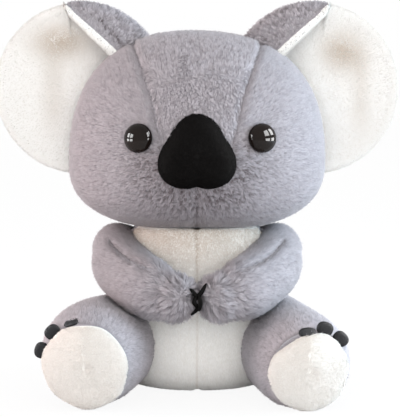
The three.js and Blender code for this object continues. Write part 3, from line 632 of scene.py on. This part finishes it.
torsoLook = {
    "inset": 1.6, "seamDepth": 1.3, "seamWidth": 2.2, "strandsPerMm2": 4, "sideSeam": -14,
    "bellyPile": {"seed": 32, "length": 2.0, "lean": 72}, "backPile": {"seed": 33},
    "seamShade": 0.3, "seamLine": 0.8, "chestShade": 0.8, "chest": (70, 118), "headGaps": (1.1, 2.5)}
torsoPoints = roundForm(torsoForm, torsoLook["inset"], 90, 130)
torsoNormals = gridNormals(torsoPoints)
seam = np.where(torsoPoints[..., 1] < 0, np.abs(torsoPoints[..., 0]), 99)
dent = torsoLook["seamDepth"] * bell(seam, torsoLook["seamWidth"])
torsoPoints = torsoPoints - torsoNormals * dent[..., None]
torsoPoints[..., 2] = np.clip(torsoPoints[..., 2], torsoForm["low"], torsoForm["high"])
torsoSkin = addSkin(
    "torsoSkin", torsoPoints, torsoCloth, "torso", "cream_plush",
    ("belly_left", "belly_right", "body_back", "body_filling"))
place, normal, along, _ = pickRoots(torsoPoints, torsoNormals, torsoLook["strandsPerMm2"], 31)
isFront = place[:, 1] < torsoLook["sideSeam"]
headGap = np.where(isFront, *torsoLook["headGaps"])  # no fur where the head turns over it
good = (place[:, 2] > 1.5) & (depthInside(headForm, place) < -headGap)
for side in (-1, 1):
    for shape in (armShape, legShapes[side]):
        good &= limbDepth(shape, side, place) < buried
belly, rear = good & isFront, good & ~isFront
# Painted shade along the belly's seam and on the chest under the head
bellyShade = (
    torsoLook["seamShade"] * bell(place[belly][:, 0], torsoLook["seamLine"])
    + torsoLook["chestShade"] * smooth(place[belly][:, 2], *torsoLook["chest"]))
makeFur("bellyFur", place[belly], normal[belly], -along[belly], {**plainPile, **torsoLook["bellyPile"]},
        creamFur, "torso", "cream_plush", 1.0, bellyShade)
makeFur("backFur", place[rear], normal[rear], -along[rear], {**plainPile, **torsoLook["backPile"]},
        greyFur, "torso", "grey_plush")
print("torso made")

armLook = {
    "inset": 2.8, "strandsPerMm2": 3.4, "restGap": 0.5, "headGap": 2.8, "pawReach": 32, "pawShare": 0.7,
    "pawRuffle": 0.9, "pile": {"length": 3.8, "tuftSize": 2.8, "width": 0.34}, "pawGap": 0.4,
    "clearOfHead": 2, "clearOfMiddle": 0.8, "pawFlow": (1, 1, 0.7), "fall": (0, 0, -0.35),
    "underHead": 0.5, "underHeadDepths": (-6, -2), "leastRuffle": 0.12, "creaseShade": 0.45,
    "creaseShadeWidth": 1, "creaseShare": 0.35, "creaseWidth": 2, "creaseRuffle": 0.6,
    "creaseRuffleWidth": 4}
legLook = {
    "inset": 1.8, "strandsPerMm2": 3.0, "restGap": 0.5, "endDepth": 3.2, "light": {-1: 0.25, 1: 0.42},
    "bareAhead": -4, "bareRim": 1, "aboveFloor": 2, "fall": (0, 0, -0.3), "ruffle": 0.25,
    "endShare": (0.7, 0.3), "endRise": (3, 8), "endShade": 0.35, "endShadeAt": 3, "endShadeWidth": 1.5}
soleLook = {
    "inset": 1.0, "bulge": 7, "sink": 2.6, "pucker": 1.6, "strandsPerMm2": 8, "waves": 0.012, "cutAt": 60,
    "cutWidth": 30, "cuts": {-1: 0.0, 1: 0.12}, "shade": 0.36, "puckerWidth": 4, "tuck": 2.0,
    "outFlow": 0.6, "fall": (0, 0, -0.6),
    "pile": {"length": 2.0, "lean": 68, "width": 0.34, "wave": 0.6, "waveSize": 12}}
threadCentre = np.array([0, -97, 74.5])
for side, sideName in sides:
    mirror = np.array([side, 1, 1])
    restPoint, restNormal = restPlane(side)
    fromCrease, points = limbForm(armShape, armLook["inset"], 90, 120)
    points = keptBelow(points, restPoint, restNormal, -1, armLook["restGap"] + armLook["inset"])
    points[..., 0] = np.maximum(points[..., 0], armLook["pawGap"])
    points[..., 2] -= np.maximum(depthInside(headForm, points) + armLook["headGap"], 0)
    points = points * mirror
    normals = gridNormals(points)
    arm = addSkin(
        f"armSkin_{sideName}", points, greyCloth, "arms", "grey_plush",
        (f"arm_skin_{sideName}", f"arm_filling_{sideName}"))
    place, normal, _, creaseGap = pickRoots(
        points, normals, armLook["strandsPerMm2"], 40 + side, fromCrease)
    headDepth = depthInside(headForm, place)
    good = (depthInside(torsoForm, place) < buried) & (headDepth < -armLook["clearOfHead"])
    good &= np.abs(place[:, 0]) > armLook["clearOfMiddle"]
    place, normal, creaseGap, headDepth = place[good], normal[good], creaseGap[good], headDepth[good]
    fromPaw = np.linalg.norm(place - threadCentre, axis=-1)
    fluffy = bell(fromPaw, armLook["pawReach"])
    flow = unit((place - threadCentre) * armLook["pawFlow"]) + np.array(armLook["fall"])
    underHead = armLook["underHead"] * smooth(headDepth, *armLook["underHeadDepths"])
    inCrease = armLook["creaseShare"] * bell(creaseGap, armLook["creaseWidth"])
    ruffle = np.maximum(armLook["leastRuffle"], armLook["pawRuffle"] * fluffy)
    ruffle = np.maximum(armLook["creaseRuffle"] * bell(creaseGap, armLook["creaseRuffleWidth"]), ruffle)
    # Painted shade in the crease along the arm
    makeFur(f"armFur_{sideName}", place, normal, flow, {**plainPile, "seed": 44 + side, **armLook["pile"]},
            greyFur, "arms", "grey_plush", 1 + armLook["pawShare"] * fluffy - underHead - inCrease,
            armLook["creaseShade"] * bell(creaseGap, armLook["creaseShadeWidth"]), ruffle)

    legShape = legShapes[side]
    _, points = limbForm(legShape, legLook["inset"], 90, 110)
    points = keptBelow(points, restPoint, restNormal, 1, legLook["restGap"] + legLook["inset"])
    footEnd = np.array(legShape["path"][-1], float)
    footWay = unit(footEnd - np.array(legShape["path"][-2]))
    points = keptBelow(points, footEnd, footWay, 1, legLook["endDepth"]) * mirror
    points[..., 2] = np.maximum(points[..., 2], lowest)
    normals = gridNormals(points)
    leg = addSkin(
        f"legSkin_{sideName}", points, greyCloth, f"leg_{sideName}", "grey_plush",
        (f"leg_skin_{sideName}", f"leg_filling_{sideName}"))
    place, normal, _, _ = pickRoots(points, normals, legLook["strandsPerMm2"], 50 + side)
    ahead = (place * mirror - footEnd) @ footWay
    fromAxis = np.linalg.norm(place * mirror - footEnd - footWay * ahead[:, None], axis=-1)
    underSole = fromAxis <= legShape["radii"][-1] * (1 - soleLook["cuts"][side]) - legLook["bareRim"]
    good = (depthInside(torsoForm, place) < buried) & (place[:, 2] > legLook["aboveFloor"])
    good &= ~((ahead >= legLook["bareAhead"]) & underSole)
    place, normal, ahead = place[good], normal[good], ahead[good]
    flow = np.tile(-footWay * mirror + np.array(legLook["fall"]), (len(place), 1))
    # Painted shade by the edge of the sole; legLook's light is painted light that makes each leg lighter
    endShade = legLook["endShade"] * bell(ahead + legLook["endShadeAt"], legLook["endShadeWidth"])
    makeFur(f"legFur_{sideName}", place, normal, flow, {**plainPile, "seed": 54 + side},
            greyFur, f"leg_{sideName}", "grey_plush",
            grown(legLook["endShare"], smooth(-ahead, *legLook["endRise"])),
            endShade - legLook["light"][side], legLook["ruffle"])

    # Sole: a bulging disc, its depth a quarter ellipse of the distance from the middle
    out = np.linspace(0.02, 1, 30)[::-1][:, None]
    turn = fullTurn(90)[None, :]
    sideways, upwards = crossAxes(footWay)
    edge = 1 + soleLook["waves"] * (np.sin(3 * turn + side) + np.sin(7 * turn))
    fromCut = turn - np.radians(soleLook["cutAt"])
    edge = edge - soleLook["cuts"][side] * bell(fromCut, np.radians(soleLook["cutWidth"]))
    radius = (legShape["radii"][-1] - soleLook["inset"]) * edge
    bulge = soleLook["bulge"] * np.sqrt(1 - (out * 0.995) ** 2) - soleLook["sink"]
    pucker = -soleLook["pucker"] * bell(out * radius, soleLook["puckerWidth"])
    disc = footEnd + (radius * out)[..., None] * (
        sideways * np.cos(turn)[..., None] + upwards * np.sin(turn)[..., None])
    disc = disc + footWay * (bulge + pucker)[..., None]
    points = np.concatenate([disc[:1] - footWay * soleLook["tuck"], disc]) * mirror
    points[..., 2] = np.maximum(points[..., 2], lowest)
    sole = addSkin(
        f"soleSkin_{sideName}", points, creamCloth, f"leg_{sideName}", "cream_plush", (f"sole_{sideName}",))
    normals = gridNormals(points)
    ahead = np.sum(normals * footWay * mirror, axis=-1, keepdims=True)
    normals = np.where(ahead < 0, -normals, normals)
    place, normal, _, _ = pickRoots(points[1:], normals[1:], soleLook["strandsPerMm2"], 60 + side)
    flow = soleLook["outFlow"] * unit(place - footEnd * mirror) + np.array(soleLook["fall"])
    # The sole's pile is painted with shade all over, a little darker than the cream fur
    makeFur(f"soleFur_{sideName}", place, normal, flow, {**plainPile, "seed": 64 + side, **soleLook["pile"]},
            creamFur, f"leg_{sideName}", "cream_plush", 1.0, soleLook["shade"])
print("arms and legs made")

earShape = {
    "radius": 59.4, "headOverlap": 8, "rise": 52, "setBack": 10, "cup": 8, "foldReach": 33,
    "foldLength": 26, "foldEase": 8, "foldAngle": 46, "rimBend": 22, "fullBend": 158, "wrinkle": 1.2,
    "rimWidth": 5.0, "roll": 1.0, "strandsPerMm2": {"face": 5.5, "back": 2.8, "rim": 9},
    "hollowDepth": 4, "hollows": {-1: (15, 33, 20, 12), 1: (21, 26, 15, 14)}, "hollowShade": 0.85,
    "bands": {-1: (20, 9), 1: (34, 7)}, "bandEnds": ((-45, -10), (10, 35)), "bandDepth": 0.35,
    "crease": ((-15, 47), (-32, 28)), "creaseShade": 0.7, "creaseWidth": 1.4, "wrinkleSize": 26,
    "rollAt": 2.5, "rollWidth": 2, "faceRoll": 0.8, "rimThin": 1.6, "rimThinWidth": 1.2, "rimReach": 12,
    "rimShare": (0.6, 0.4), "ruffle": (0.2, 0.6), "forwardFade": (0, 0.5),
    "skin": 1.4, "least": 0.35, "facePile": {
        "length": 2.0, "lean": 73, "width": 0.46, "frizz": 0.05, "draw": 0.03, "twist": 0.15, "tone": 0.03},
    "backPile": {"length": 2.8}, "backShade": -0.1}


def earHollow(side, across, up):  # how deep the face lies: a hollow by the fold and a band below it
    x, z, width, height = earShape["hollows"][side]
    bandX, bandWidth = earShape["bands"][side]
    hollow = np.exp(-((across - x) / width) ** 2 - ((up - z) / height) ** 2)
    rise, fall = earShape["bandEnds"]
    band = bell(across - bandX, bandWidth) * smooth(up, *rise) * (1 - smooth(up, *fall))
    return hollow + earShape["bandDepth"] * band


def earSheet(side, lift, sectors=180, flatRows=26, bendRows=26, runRows=12):
    # A cupped disc whose edge bends forward, and right over where it is folded. Each ray runs flat to
    # where its bend starts, round an arc, and straight on. lift is the distance off its middle layer.
    e = earShape
    angle = fullTurn(sectors)[None, :]
    away = np.cos(angle - np.radians(e["foldAngle"]))
    fold = e["radius"] - e["foldReach"] / np.maximum(away, 1e-6)
    fold = np.where(away * e["radius"] > e["foldReach"], fold, 0)
    ease = smooth(fold, 0, e["foldEase"])
    bend = np.radians(e["rimBend"] + (e["fullBend"] - e["rimBend"]) * ease)
    bendRadius = e["foldLength"] / bend
    bendStart = e["radius"] - bendRadius * np.sin(np.minimum(bend, np.pi / 2))
    flatShare = np.linspace(0.04, 1, flatRows)[:, None]
    arc = bend * np.linspace(0, 1, bendRows + 1)[1:, None]
    runShare = np.linspace(0, 1, runRows + 1)[1:, None]
    arcOut = bendStart + bendRadius * np.sin(arc)
    arcForward = bendRadius * (1 - np.cos(arc))
    run = np.maximum(0, arcOut[-1:] - (e["radius"] - fold)) * ease
    runOut = arcOut[-1:] - run * runShare + 0.3 * (1 - ease) * runShare
    runForward = arcForward[-1:] + run * np.tan(np.pi - bend) * ease * runShare
    out = np.concatenate([bendStart * flatShare, arcOut, runOut])
    forward = np.concatenate([0 * bendStart * flatShare, arcForward, runForward])
    slope = np.concatenate([0 * bend * flatShare, arc, bend + 0 * runShare])
    out = out - lift * np.sin(slope)
    forward = forward + lift * np.cos(slope)
    across, up = -out * np.cos(angle), out * np.sin(angle)
    onFace = [np.ones(flatRows), 1 - smooth(np.linspace(0, 1, bendRows), 0, 0.6), np.zeros(runRows)]
    cup = e["cup"] * np.maximum(0, 1 - (out / e["radius"]) ** 2)
    cup = cup + e["hollowDepth"] * earHollow(side, across, up) * np.concatenate(onFace)[:, None]
    sheet = np.stack([across, cup - forward, up], axis=-1)
    return (sheet + earCentre) * np.array([side, 1, 1])


earCentre = np.array([
    headForm["halfWidth"] - earShape["headOverlap"], earShape["setBack"],
    headForm["centre"][2] + earShape["rise"]])


def lineDistance(places, start, end):  # distance to a stretch of straight line
    start, end = np.array(start, float), np.array(end, float)
    share = np.clip((places - start) @ (end - start) / np.sum((end - start) ** 2), 0, 1)
    return np.linalg.norm(places - start - share[..., None] * (end - start), axis=-1)


for side, sideName in sides:
    body = f"ear_{sideName}"
    skin, least = earShape["skin"], earShape["least"]
    flatFace = earSheet(side, skin)
    wrinkle = earShape["wrinkle"] * cloud(flatFace, earShape["wrinkleSize"], 90 + side)
    steps = np.linalg.norm(np.diff(flatFace, axis=0), axis=-1)
    toRim = np.concatenate([np.cumsum(steps[::-1], axis=0)[::-1], 0 * steps[:1]])
    roll = earShape["roll"] * bell(toRim - earShape["rollAt"], earShape["rollWidth"])
    roll = roll - earShape["rimThin"] * bell(toRim, earShape["rimThinWidth"])
    lift = skin + wrinkle * smooth(toRim, 0, earShape["rimReach"]) + earShape["faceRoll"] * roll
    face = earSheet(side, np.maximum(lift, least))
    lining = addSkin(
        f"earLining_{sideName}", np.concatenate([earSheet(side, 0.2), face[::-1]]), creamCloth, body,
        "cream_plush", (f"ear_lining_{sideName}",))
    outer = earSheet(side, np.minimum(-skin - roll, -least))
    backing = addSkin(
        f"earBack_{sideName}", np.concatenate([earSheet(side, -0.2), outer[::-1]]), greyCloth, body,
        "grey_plush", (f"ear_back_{sideName}",))

    # Fur runs out to the rim. The lining's goes round the rim on to the back.
    density = earShape["strandsPerMm2"]
    outwards = unit(outer - earSheet(side, 0.0))
    faceRoots = pickRoots(face, unit(earSheet(side, skin + 1) - flatFace), density["face"], 70 + side)
    rimRoots = pickRoots(outer, outwards, density["rim"], 77 + side, toRim)
    onRim = rimRoots[3] < earShape["rimWidth"]
    place, normal, along, _ = (np.concatenate([a, b[onRim]]) for a, b in zip(faceRoots, rimRoots))
    hollow = earHollow(side, place[:, 0] * side - earCentre[0], place[:, 2] - earCentre[2])
    hollow = np.clip(hollow, 0, 1) * smooth(-normal[:, 1], *earShape["forwardFade"])
    hollow[len(faceRoots[0]):] = 0
    good = depthInside(headForm, place) < buried
    # Painted shade in the hollow under the fold and in a band below it
    makeFur(f"earLiningFur_{sideName}", place[good], normal[good], along[good],
            {**plainPile, "seed": 74 + side, **earShape["facePile"]}, creamFur, body, "cream_plush", 1.0,
            earShape["hollowShade"] * hollow[good])
    backRoots = pickRoots(outer, outwards, density["back"], 80 + side, toRim)
    good = (backRoots[3] > earShape["rimWidth"]) & (depthInside(headForm, backRoots[0]) < buried)
    place, normal, along, rimGap = (values[good] for values in backRoots)
    folded = smooth(-normal[:, 1], *earShape["forwardFade"])
    rimRise = smooth(rimGap, earShape["rimWidth"], earShape["rimReach"])
    shade = earShape["backShade"]
    # Painted shade of a crease across the fold, on the left ear only
    if side < 0:  # a crease across the fold
        onEar = np.stack([place[:, 0] * side - earCentre[0], place[:, 2] - earCentre[2]], axis=-1)
        creaseGap = lineDistance(onEar, *earShape["crease"]) + 20 * (normal[:, 1] > 0)
        shade = shade + earShape["creaseShade"] * bell(creaseGap, earShape["creaseWidth"])
    makeFur(f"earBackFur_{sideName}", place, normal, -along,
            {**plainPile, "seed": 84 + side, **earShape["backPile"]}, greyFur, body, "grey_plush",
            grown(earShape["rimShare"], rimRise), shade, grown(earShape["ruffle"], folded))
print("ears made")

# Nose: its outline shrinks as it comes forward, with a notch in the middle of its lower edge
turn = fullTurn(120)[None, :]
rise = np.linspace(0, 0.4995 * np.pi, 34)[:, None]
lowerEdge = np.arctan2(np.sin(turn + np.pi / 2), np.cos(turn + np.pi / 2))
notch = noseLook["notch"] * bell(lowerEdge, noseLook["notchWidth"]) * np.cos(rise) ** 0.5
radius = (noseOutline(turn) - notch) * np.cos(rise) ** noseLook["puff"]
forward = noseLook["bulge"] * np.sin(rise) - noseLook["sink"]
points = np.stack([
    radius * np.cos(turn), noseSeat[1] - forward + 0 * turn, noseHeight + radius * np.sin(turn)], axis=-1)
aboveMiddle = np.maximum(points[..., 2] - noseHeight, 0)
points[..., 1] += noseLook["tiltBack"] * aboveMiddle  # the upper part lies back with the forehead
points = np.concatenate([points[:1] + np.array([0, 8, 0]), points])
nose = addSkin("noseVelvet", points, blackVelvet, "head", "nose_velvet", ("nose",))
place, normal, along, _ = pickRoots(points[2:], gridNormals(points)[2:], noseLook["strandsPerMm2"], 15)
makeFur("noseNap", place, normal, -along, {**plainPile, **noseLook["nap"]}, blackNap, "head", "nose_velvet")


def turnedOnAxis(profile, seat, axis, columns=64):  # rings of the profile's radius and height about an axis
    sideways, upwards = crossAxes(axis)
    turn = fullTurn(columns)[None, :, None]
    ring = sideways * np.cos(turn) + upwards * np.sin(turn)
    return seat + profile[:, 0][:, None, None] * ring + axis * profile[:, 1][:, None, None]


for side, sideName in sides:
    rise = np.linspace(0, np.pi / 2, 24)[:-1]
    radius, back, stem = eyeLook["radius"], eyeLook["back"], eyeLook["stemRadius"]
    dome = np.stack([radius * np.cos(rise), back + eyeLook["rim"] + eyeLook["dome"] * np.sin(rise)], axis=-1)
    behind = [[stem, -eyeLook["stemLength"]], [stem, back], [radius - 0.4, back], [radius, back + 0.35]]
    points = turnedOnAxis(np.concatenate([behind, dome]), *eyeSeats[side])
    addSkin(f"eyeDome_{sideName}", points, eyeGloss, "head", "eye_plastic", (f"eye_{sideName}",))

# Felt claws: rounded tabs, thickest in the middle, sewn into the seam of the sole. Angles run outwards
# from straight up, and the first claw of each foot lies back on the leg.
clawLook = {
    "halfWidth": 5.8, "halfThickness": 1.7, "squareness": 0.85, "rows": {
        "seam": {-1: (2, 3, 3), 1: (0.6, 3, 3)}, "length": {-1: (9.4, 9.4, 9.4), 1: (7, 9.4, 9.4)},
        "tilt": {-1: (80, 0, 0), 1: (25, 0, 0)}, "root": {-1: (0.4, 2.6, 2.6), 1: (4.6, 2, 2)},
        "angle": {-1: (18, 44, 72), 1: (-3, 21, 46)}}}
turn = fullTurn(40)
tilt = np.linspace(-np.pi / 2, np.pi / 2, 16)[1:-1, None]
roundedSquare = np.stack([
    np.sign(wave) * np.abs(wave) ** clawLook["squareness"] for wave in (np.cos(turn), np.sin(turn))])
for side, sideName in sides:
    calf, foot = (np.array(point, float) * [side, 1, 1] for point in legShapes[side]["path"][1:])
    back = unit(calf - foot)
    right, up = crossAxes(back)
    for number in range(3):
        claw = {key: row[side][number] for key, row in clawLook["rows"].items()}
        angle, lean = np.radians(claw["angle"]), np.radians(claw["tilt"])
        outwards = up * np.cos(angle) + right * side * np.sin(angle)
        lengthways = outwards * np.cos(lean) + back * np.sin(lean)
        thickways = back * np.cos(lean) - outwards * np.sin(lean)
        sideways = np.cross(lengthways, thickways)
        root = foot + back * (claw["seam"] + clawLook["halfThickness"]) + outwards * (
            legShapes[side]["radii"][-1] - claw["root"])
        middle = root + lengthways * claw["length"] / 2
        share = np.cos(tilt) ** 0.5
        across = share * roundedSquare[0] * clawLook["halfWidth"]
        ahead = share * roundedSquare[1] * claw["length"] / 2
        thick = np.sin(tilt) * clawLook["halfThickness"] + 0 * across
        points = middle + across[..., None] * sideways + ahead[..., None] * lengthways
        points = points + thick[..., None] * thickways
        addSkin(f"feltClaw_{sideName}_{number + 1}", points, blackFelt, f"leg_{sideName}", "claw_felt",
                (f"felt_claw_{sideName}_{number + 1}",))

# Thread claws: thick stitches over the paws, thinner at their ends
threadPaths = {
    "left_upper": [(0.4, 73), (-1.6, 77), (-4.6, 81)],
    "left_lower": [(0.2, 77), (-1.9, 72), (0.4, 67), (-4, 62.8)],
    "right_upper": [(-0.6, 74), (2.6, 78), (6.2, 84)],
    "right_lower": [(1.2, 77), (2.2, 71.5), (1.6, 65.5)]}
threadLook = {"thickness": 3.0, "proud": 2.2, "ends": 0.04}
for name, knots in threadPaths.items():
    share = np.linspace(0, 1, 36)
    flatPath = throughPoints(knots, share)[0]
    pawX, pawY, pawZ = armShape["path"][-1]
    gap = (np.abs(flatPath[:, 0]) - pawX) ** 2 + (flatPath[:, 1] - pawZ) ** 2
    front = pawY - np.sqrt(np.maximum(armShape["radii"][-1] ** 2 - gap, 1)) - threadLook["proud"]
    centre = np.stack([flatPath[:, 0], front, flatPath[:, 1]], axis=-1)
    tangent = unit(np.gradient(centre, axis=0))
    sideways, upwards = crossAxes(tangent, (0, 1, 0))
    taper = np.sqrt(np.sin(np.pi * (threadLook["ends"] + (1 - 2 * threadLook["ends"]) * share)))
    radius = threadLook["thickness"] / 2 * taper
    turn = fullTurn(20)[None, :, None]
    points = centre[:, None] + radius[:, None, None] * (
        sideways[:, None] * np.cos(turn) + upwards[:, None] * np.sin(turn))
    addSkin(f"thread_{name}", points, blackVelvet, "arms", "claw_thread", (f"paw_thread_{name}",))

for name in ("eye_washer_left", "eye_washer_right"):
    for slot in bpy.data.objects[name].material_slots:
        slot.material = eyeGloss
print("nose, eyes and claws made")

floorLook = {"colour": (0.93, 0.93, 0.93, 1), "glow": 0.92, "halfWidth": 6.0}
floorMaterial, tree, shader = newMaterial("paleFloor", {
    "Base Color": floorLook["colour"], "Roughness": 0.9, "Specular IOR Level": 0.1})
glow = addNode(tree, "ShaderNodeEmission")
mix = addNode(tree, "ShaderNodeMixShader")
paths = addNode(tree, "ShaderNodeLightPath")
seen = addNode(tree, "ShaderNodeMath", {1: floorLook["glow"]}, operation="MULTIPLY")
joinNodes(
    tree, (paths, "Is Camera Ray", seen, 0), (seen, "Value", mix, "Fac"), (shader, "BSDF", mix, 1),
    (glow, "Emission", mix, 2), (mix, "Shader", tree.nodes["Material Output"], "Surface"))
edge = floorLook["halfWidth"]
floorMesh = bpy.data.meshes.new("floor")
floorCorners = [(-edge, -edge, 0), (edge, -edge, 0), (edge, edge, 0), (-edge, edge, 0)]
floorMesh.from_pydata(floorCorners, [], [(0, 1, 2, 3)])
floorMesh.materials.append(floorMaterial)
addObject("floor", floorMesh)

lightLook = {
    "world": 0.92, "aim": (0, 0, 0.14), "lamps": {
        "softRight": {
            "place": (1.4, -0.1, 0.5), "size": (0.7, 0.9), "power": 20, "colour": (0.64, 0.85, 1.0)},
        "softLeft": {
            "place": (-1.4, -0.15, 0.4), "size": (0.7, 0.9), "power": 9, "colour": (1.0, 0.75, 0.70)},
        "softFront": {
            "place": (0.1, -1.6, 0.6), "size": (1.4, 1.1), "power": 10, "colour": (1.0, 0.99, 0.98)}},
    "paneGlow": 36, "bar": 0.16, "panes": {
        "panesRight": {"place": (1.3, -0.4, 0.42), "size": (1.5, 1.7)},
        "panesLeft": {"place": (-1.3, -0.4, 0.3), "size": (0.9, 0.9)}}}
world = bpy.data.worlds.new("studio")
bpy.context.scene.world = world
world.use_nodes = True
background = world.node_tree.nodes["Background"]
background.inputs["Color"].default_value = (1, 1, 1, 1)
paths = addNode(world.node_tree, "ShaderNodeLightPath")
strength = addNode(world.node_tree, "ShaderNodeMapRange", {"To Min": lightLook["world"], "To Max": 1.0})
joinNodes(world.node_tree, (paths, "Is Camera Ray", strength, "Value"),
          (strength, "Result", background, "Strength"))
for name, values in lightLook["lamps"].items():
    light = bpy.data.lights.new(name, "AREA")
    light.shape = "RECTANGLE"
    light.size, light.size_y = values["size"]
    light.energy = values["power"]
    light.color = values["colour"]
    lamp = addObject(name, light)
    lamp.visible_glossy = False
    lamp.location = values["place"]
    towards = Vector(lightLook["aim"]) - Vector(values["place"])
    lamp.rotation_euler = towards.to_track_quat("-Z", "Y").to_euler()

# Windows of four panes, seen only in the eyes
paneMaterial, tree, _ = newMaterial("paneGlow")
glow = addNode(tree, "ShaderNodeEmission", {"Strength": lightLook["paneGlow"]})
joinNodes(tree, (glow, "Emission", tree.nodes["Material Output"], "Surface"))
for name, values in lightLook["panes"].items():
    towards = unit(np.array(lightLook["aim"]) - values["place"])
    right, up = crossAxes(towards)
    low, high = lightLook["bar"] / 2, 0.5
    corners = [
        np.array(values["place"]) + right * x * values["size"][0] * u + up * z * values["size"][1] * v
        for x in (-1, 1) for z in (-1, 1) for u, v in ((low, low), (high, low), (high, high), (low, high))]
    mesh = bpy.data.meshes.new(name)
    mesh.from_pydata([tuple(corner) for corner in corners], [], np.arange(16).reshape(4, 4).tolist())
    mesh.materials.append(paneMaterial)
    panes = addObject(name, mesh)
    panes.visible_camera = panes.visible_diffuse = panes.visible_shadow = False
    panes.visible_transmission = False
print("floor and light made")

cameraLook = {
    "distance": 1.2, "elevation": 5, "targetHeight": 0.1265, "focalPixels": 1667, "centreShift": 3,
    "imageWidth": 400, "sensorWidth": 36}
lens = bpy.data.cameras.new("camera")
lens.sensor_fit = "HORIZONTAL"
lens.sensor_width = cameraLook["sensorWidth"]
lens.lens = cameraLook["focalPixels"] / cameraLook["imageWidth"] * cameraLook["sensorWidth"]
lens.shift_x = cameraLook["centreShift"] / cameraLook["imageWidth"]
camera = addObject("camera", lens)
tilt, distance = np.radians(cameraLook["elevation"]), cameraLook["distance"]
camera.location = (0, -distance * np.cos(tilt), cameraLook["targetHeight"] + distance * np.sin(tilt))
camera.rotation_euler = (np.pi / 2 - tilt, 0, 0)
bpy.context.scene.camera = camera
bpy.context.scene.view_settings.view_transform = "Standard"
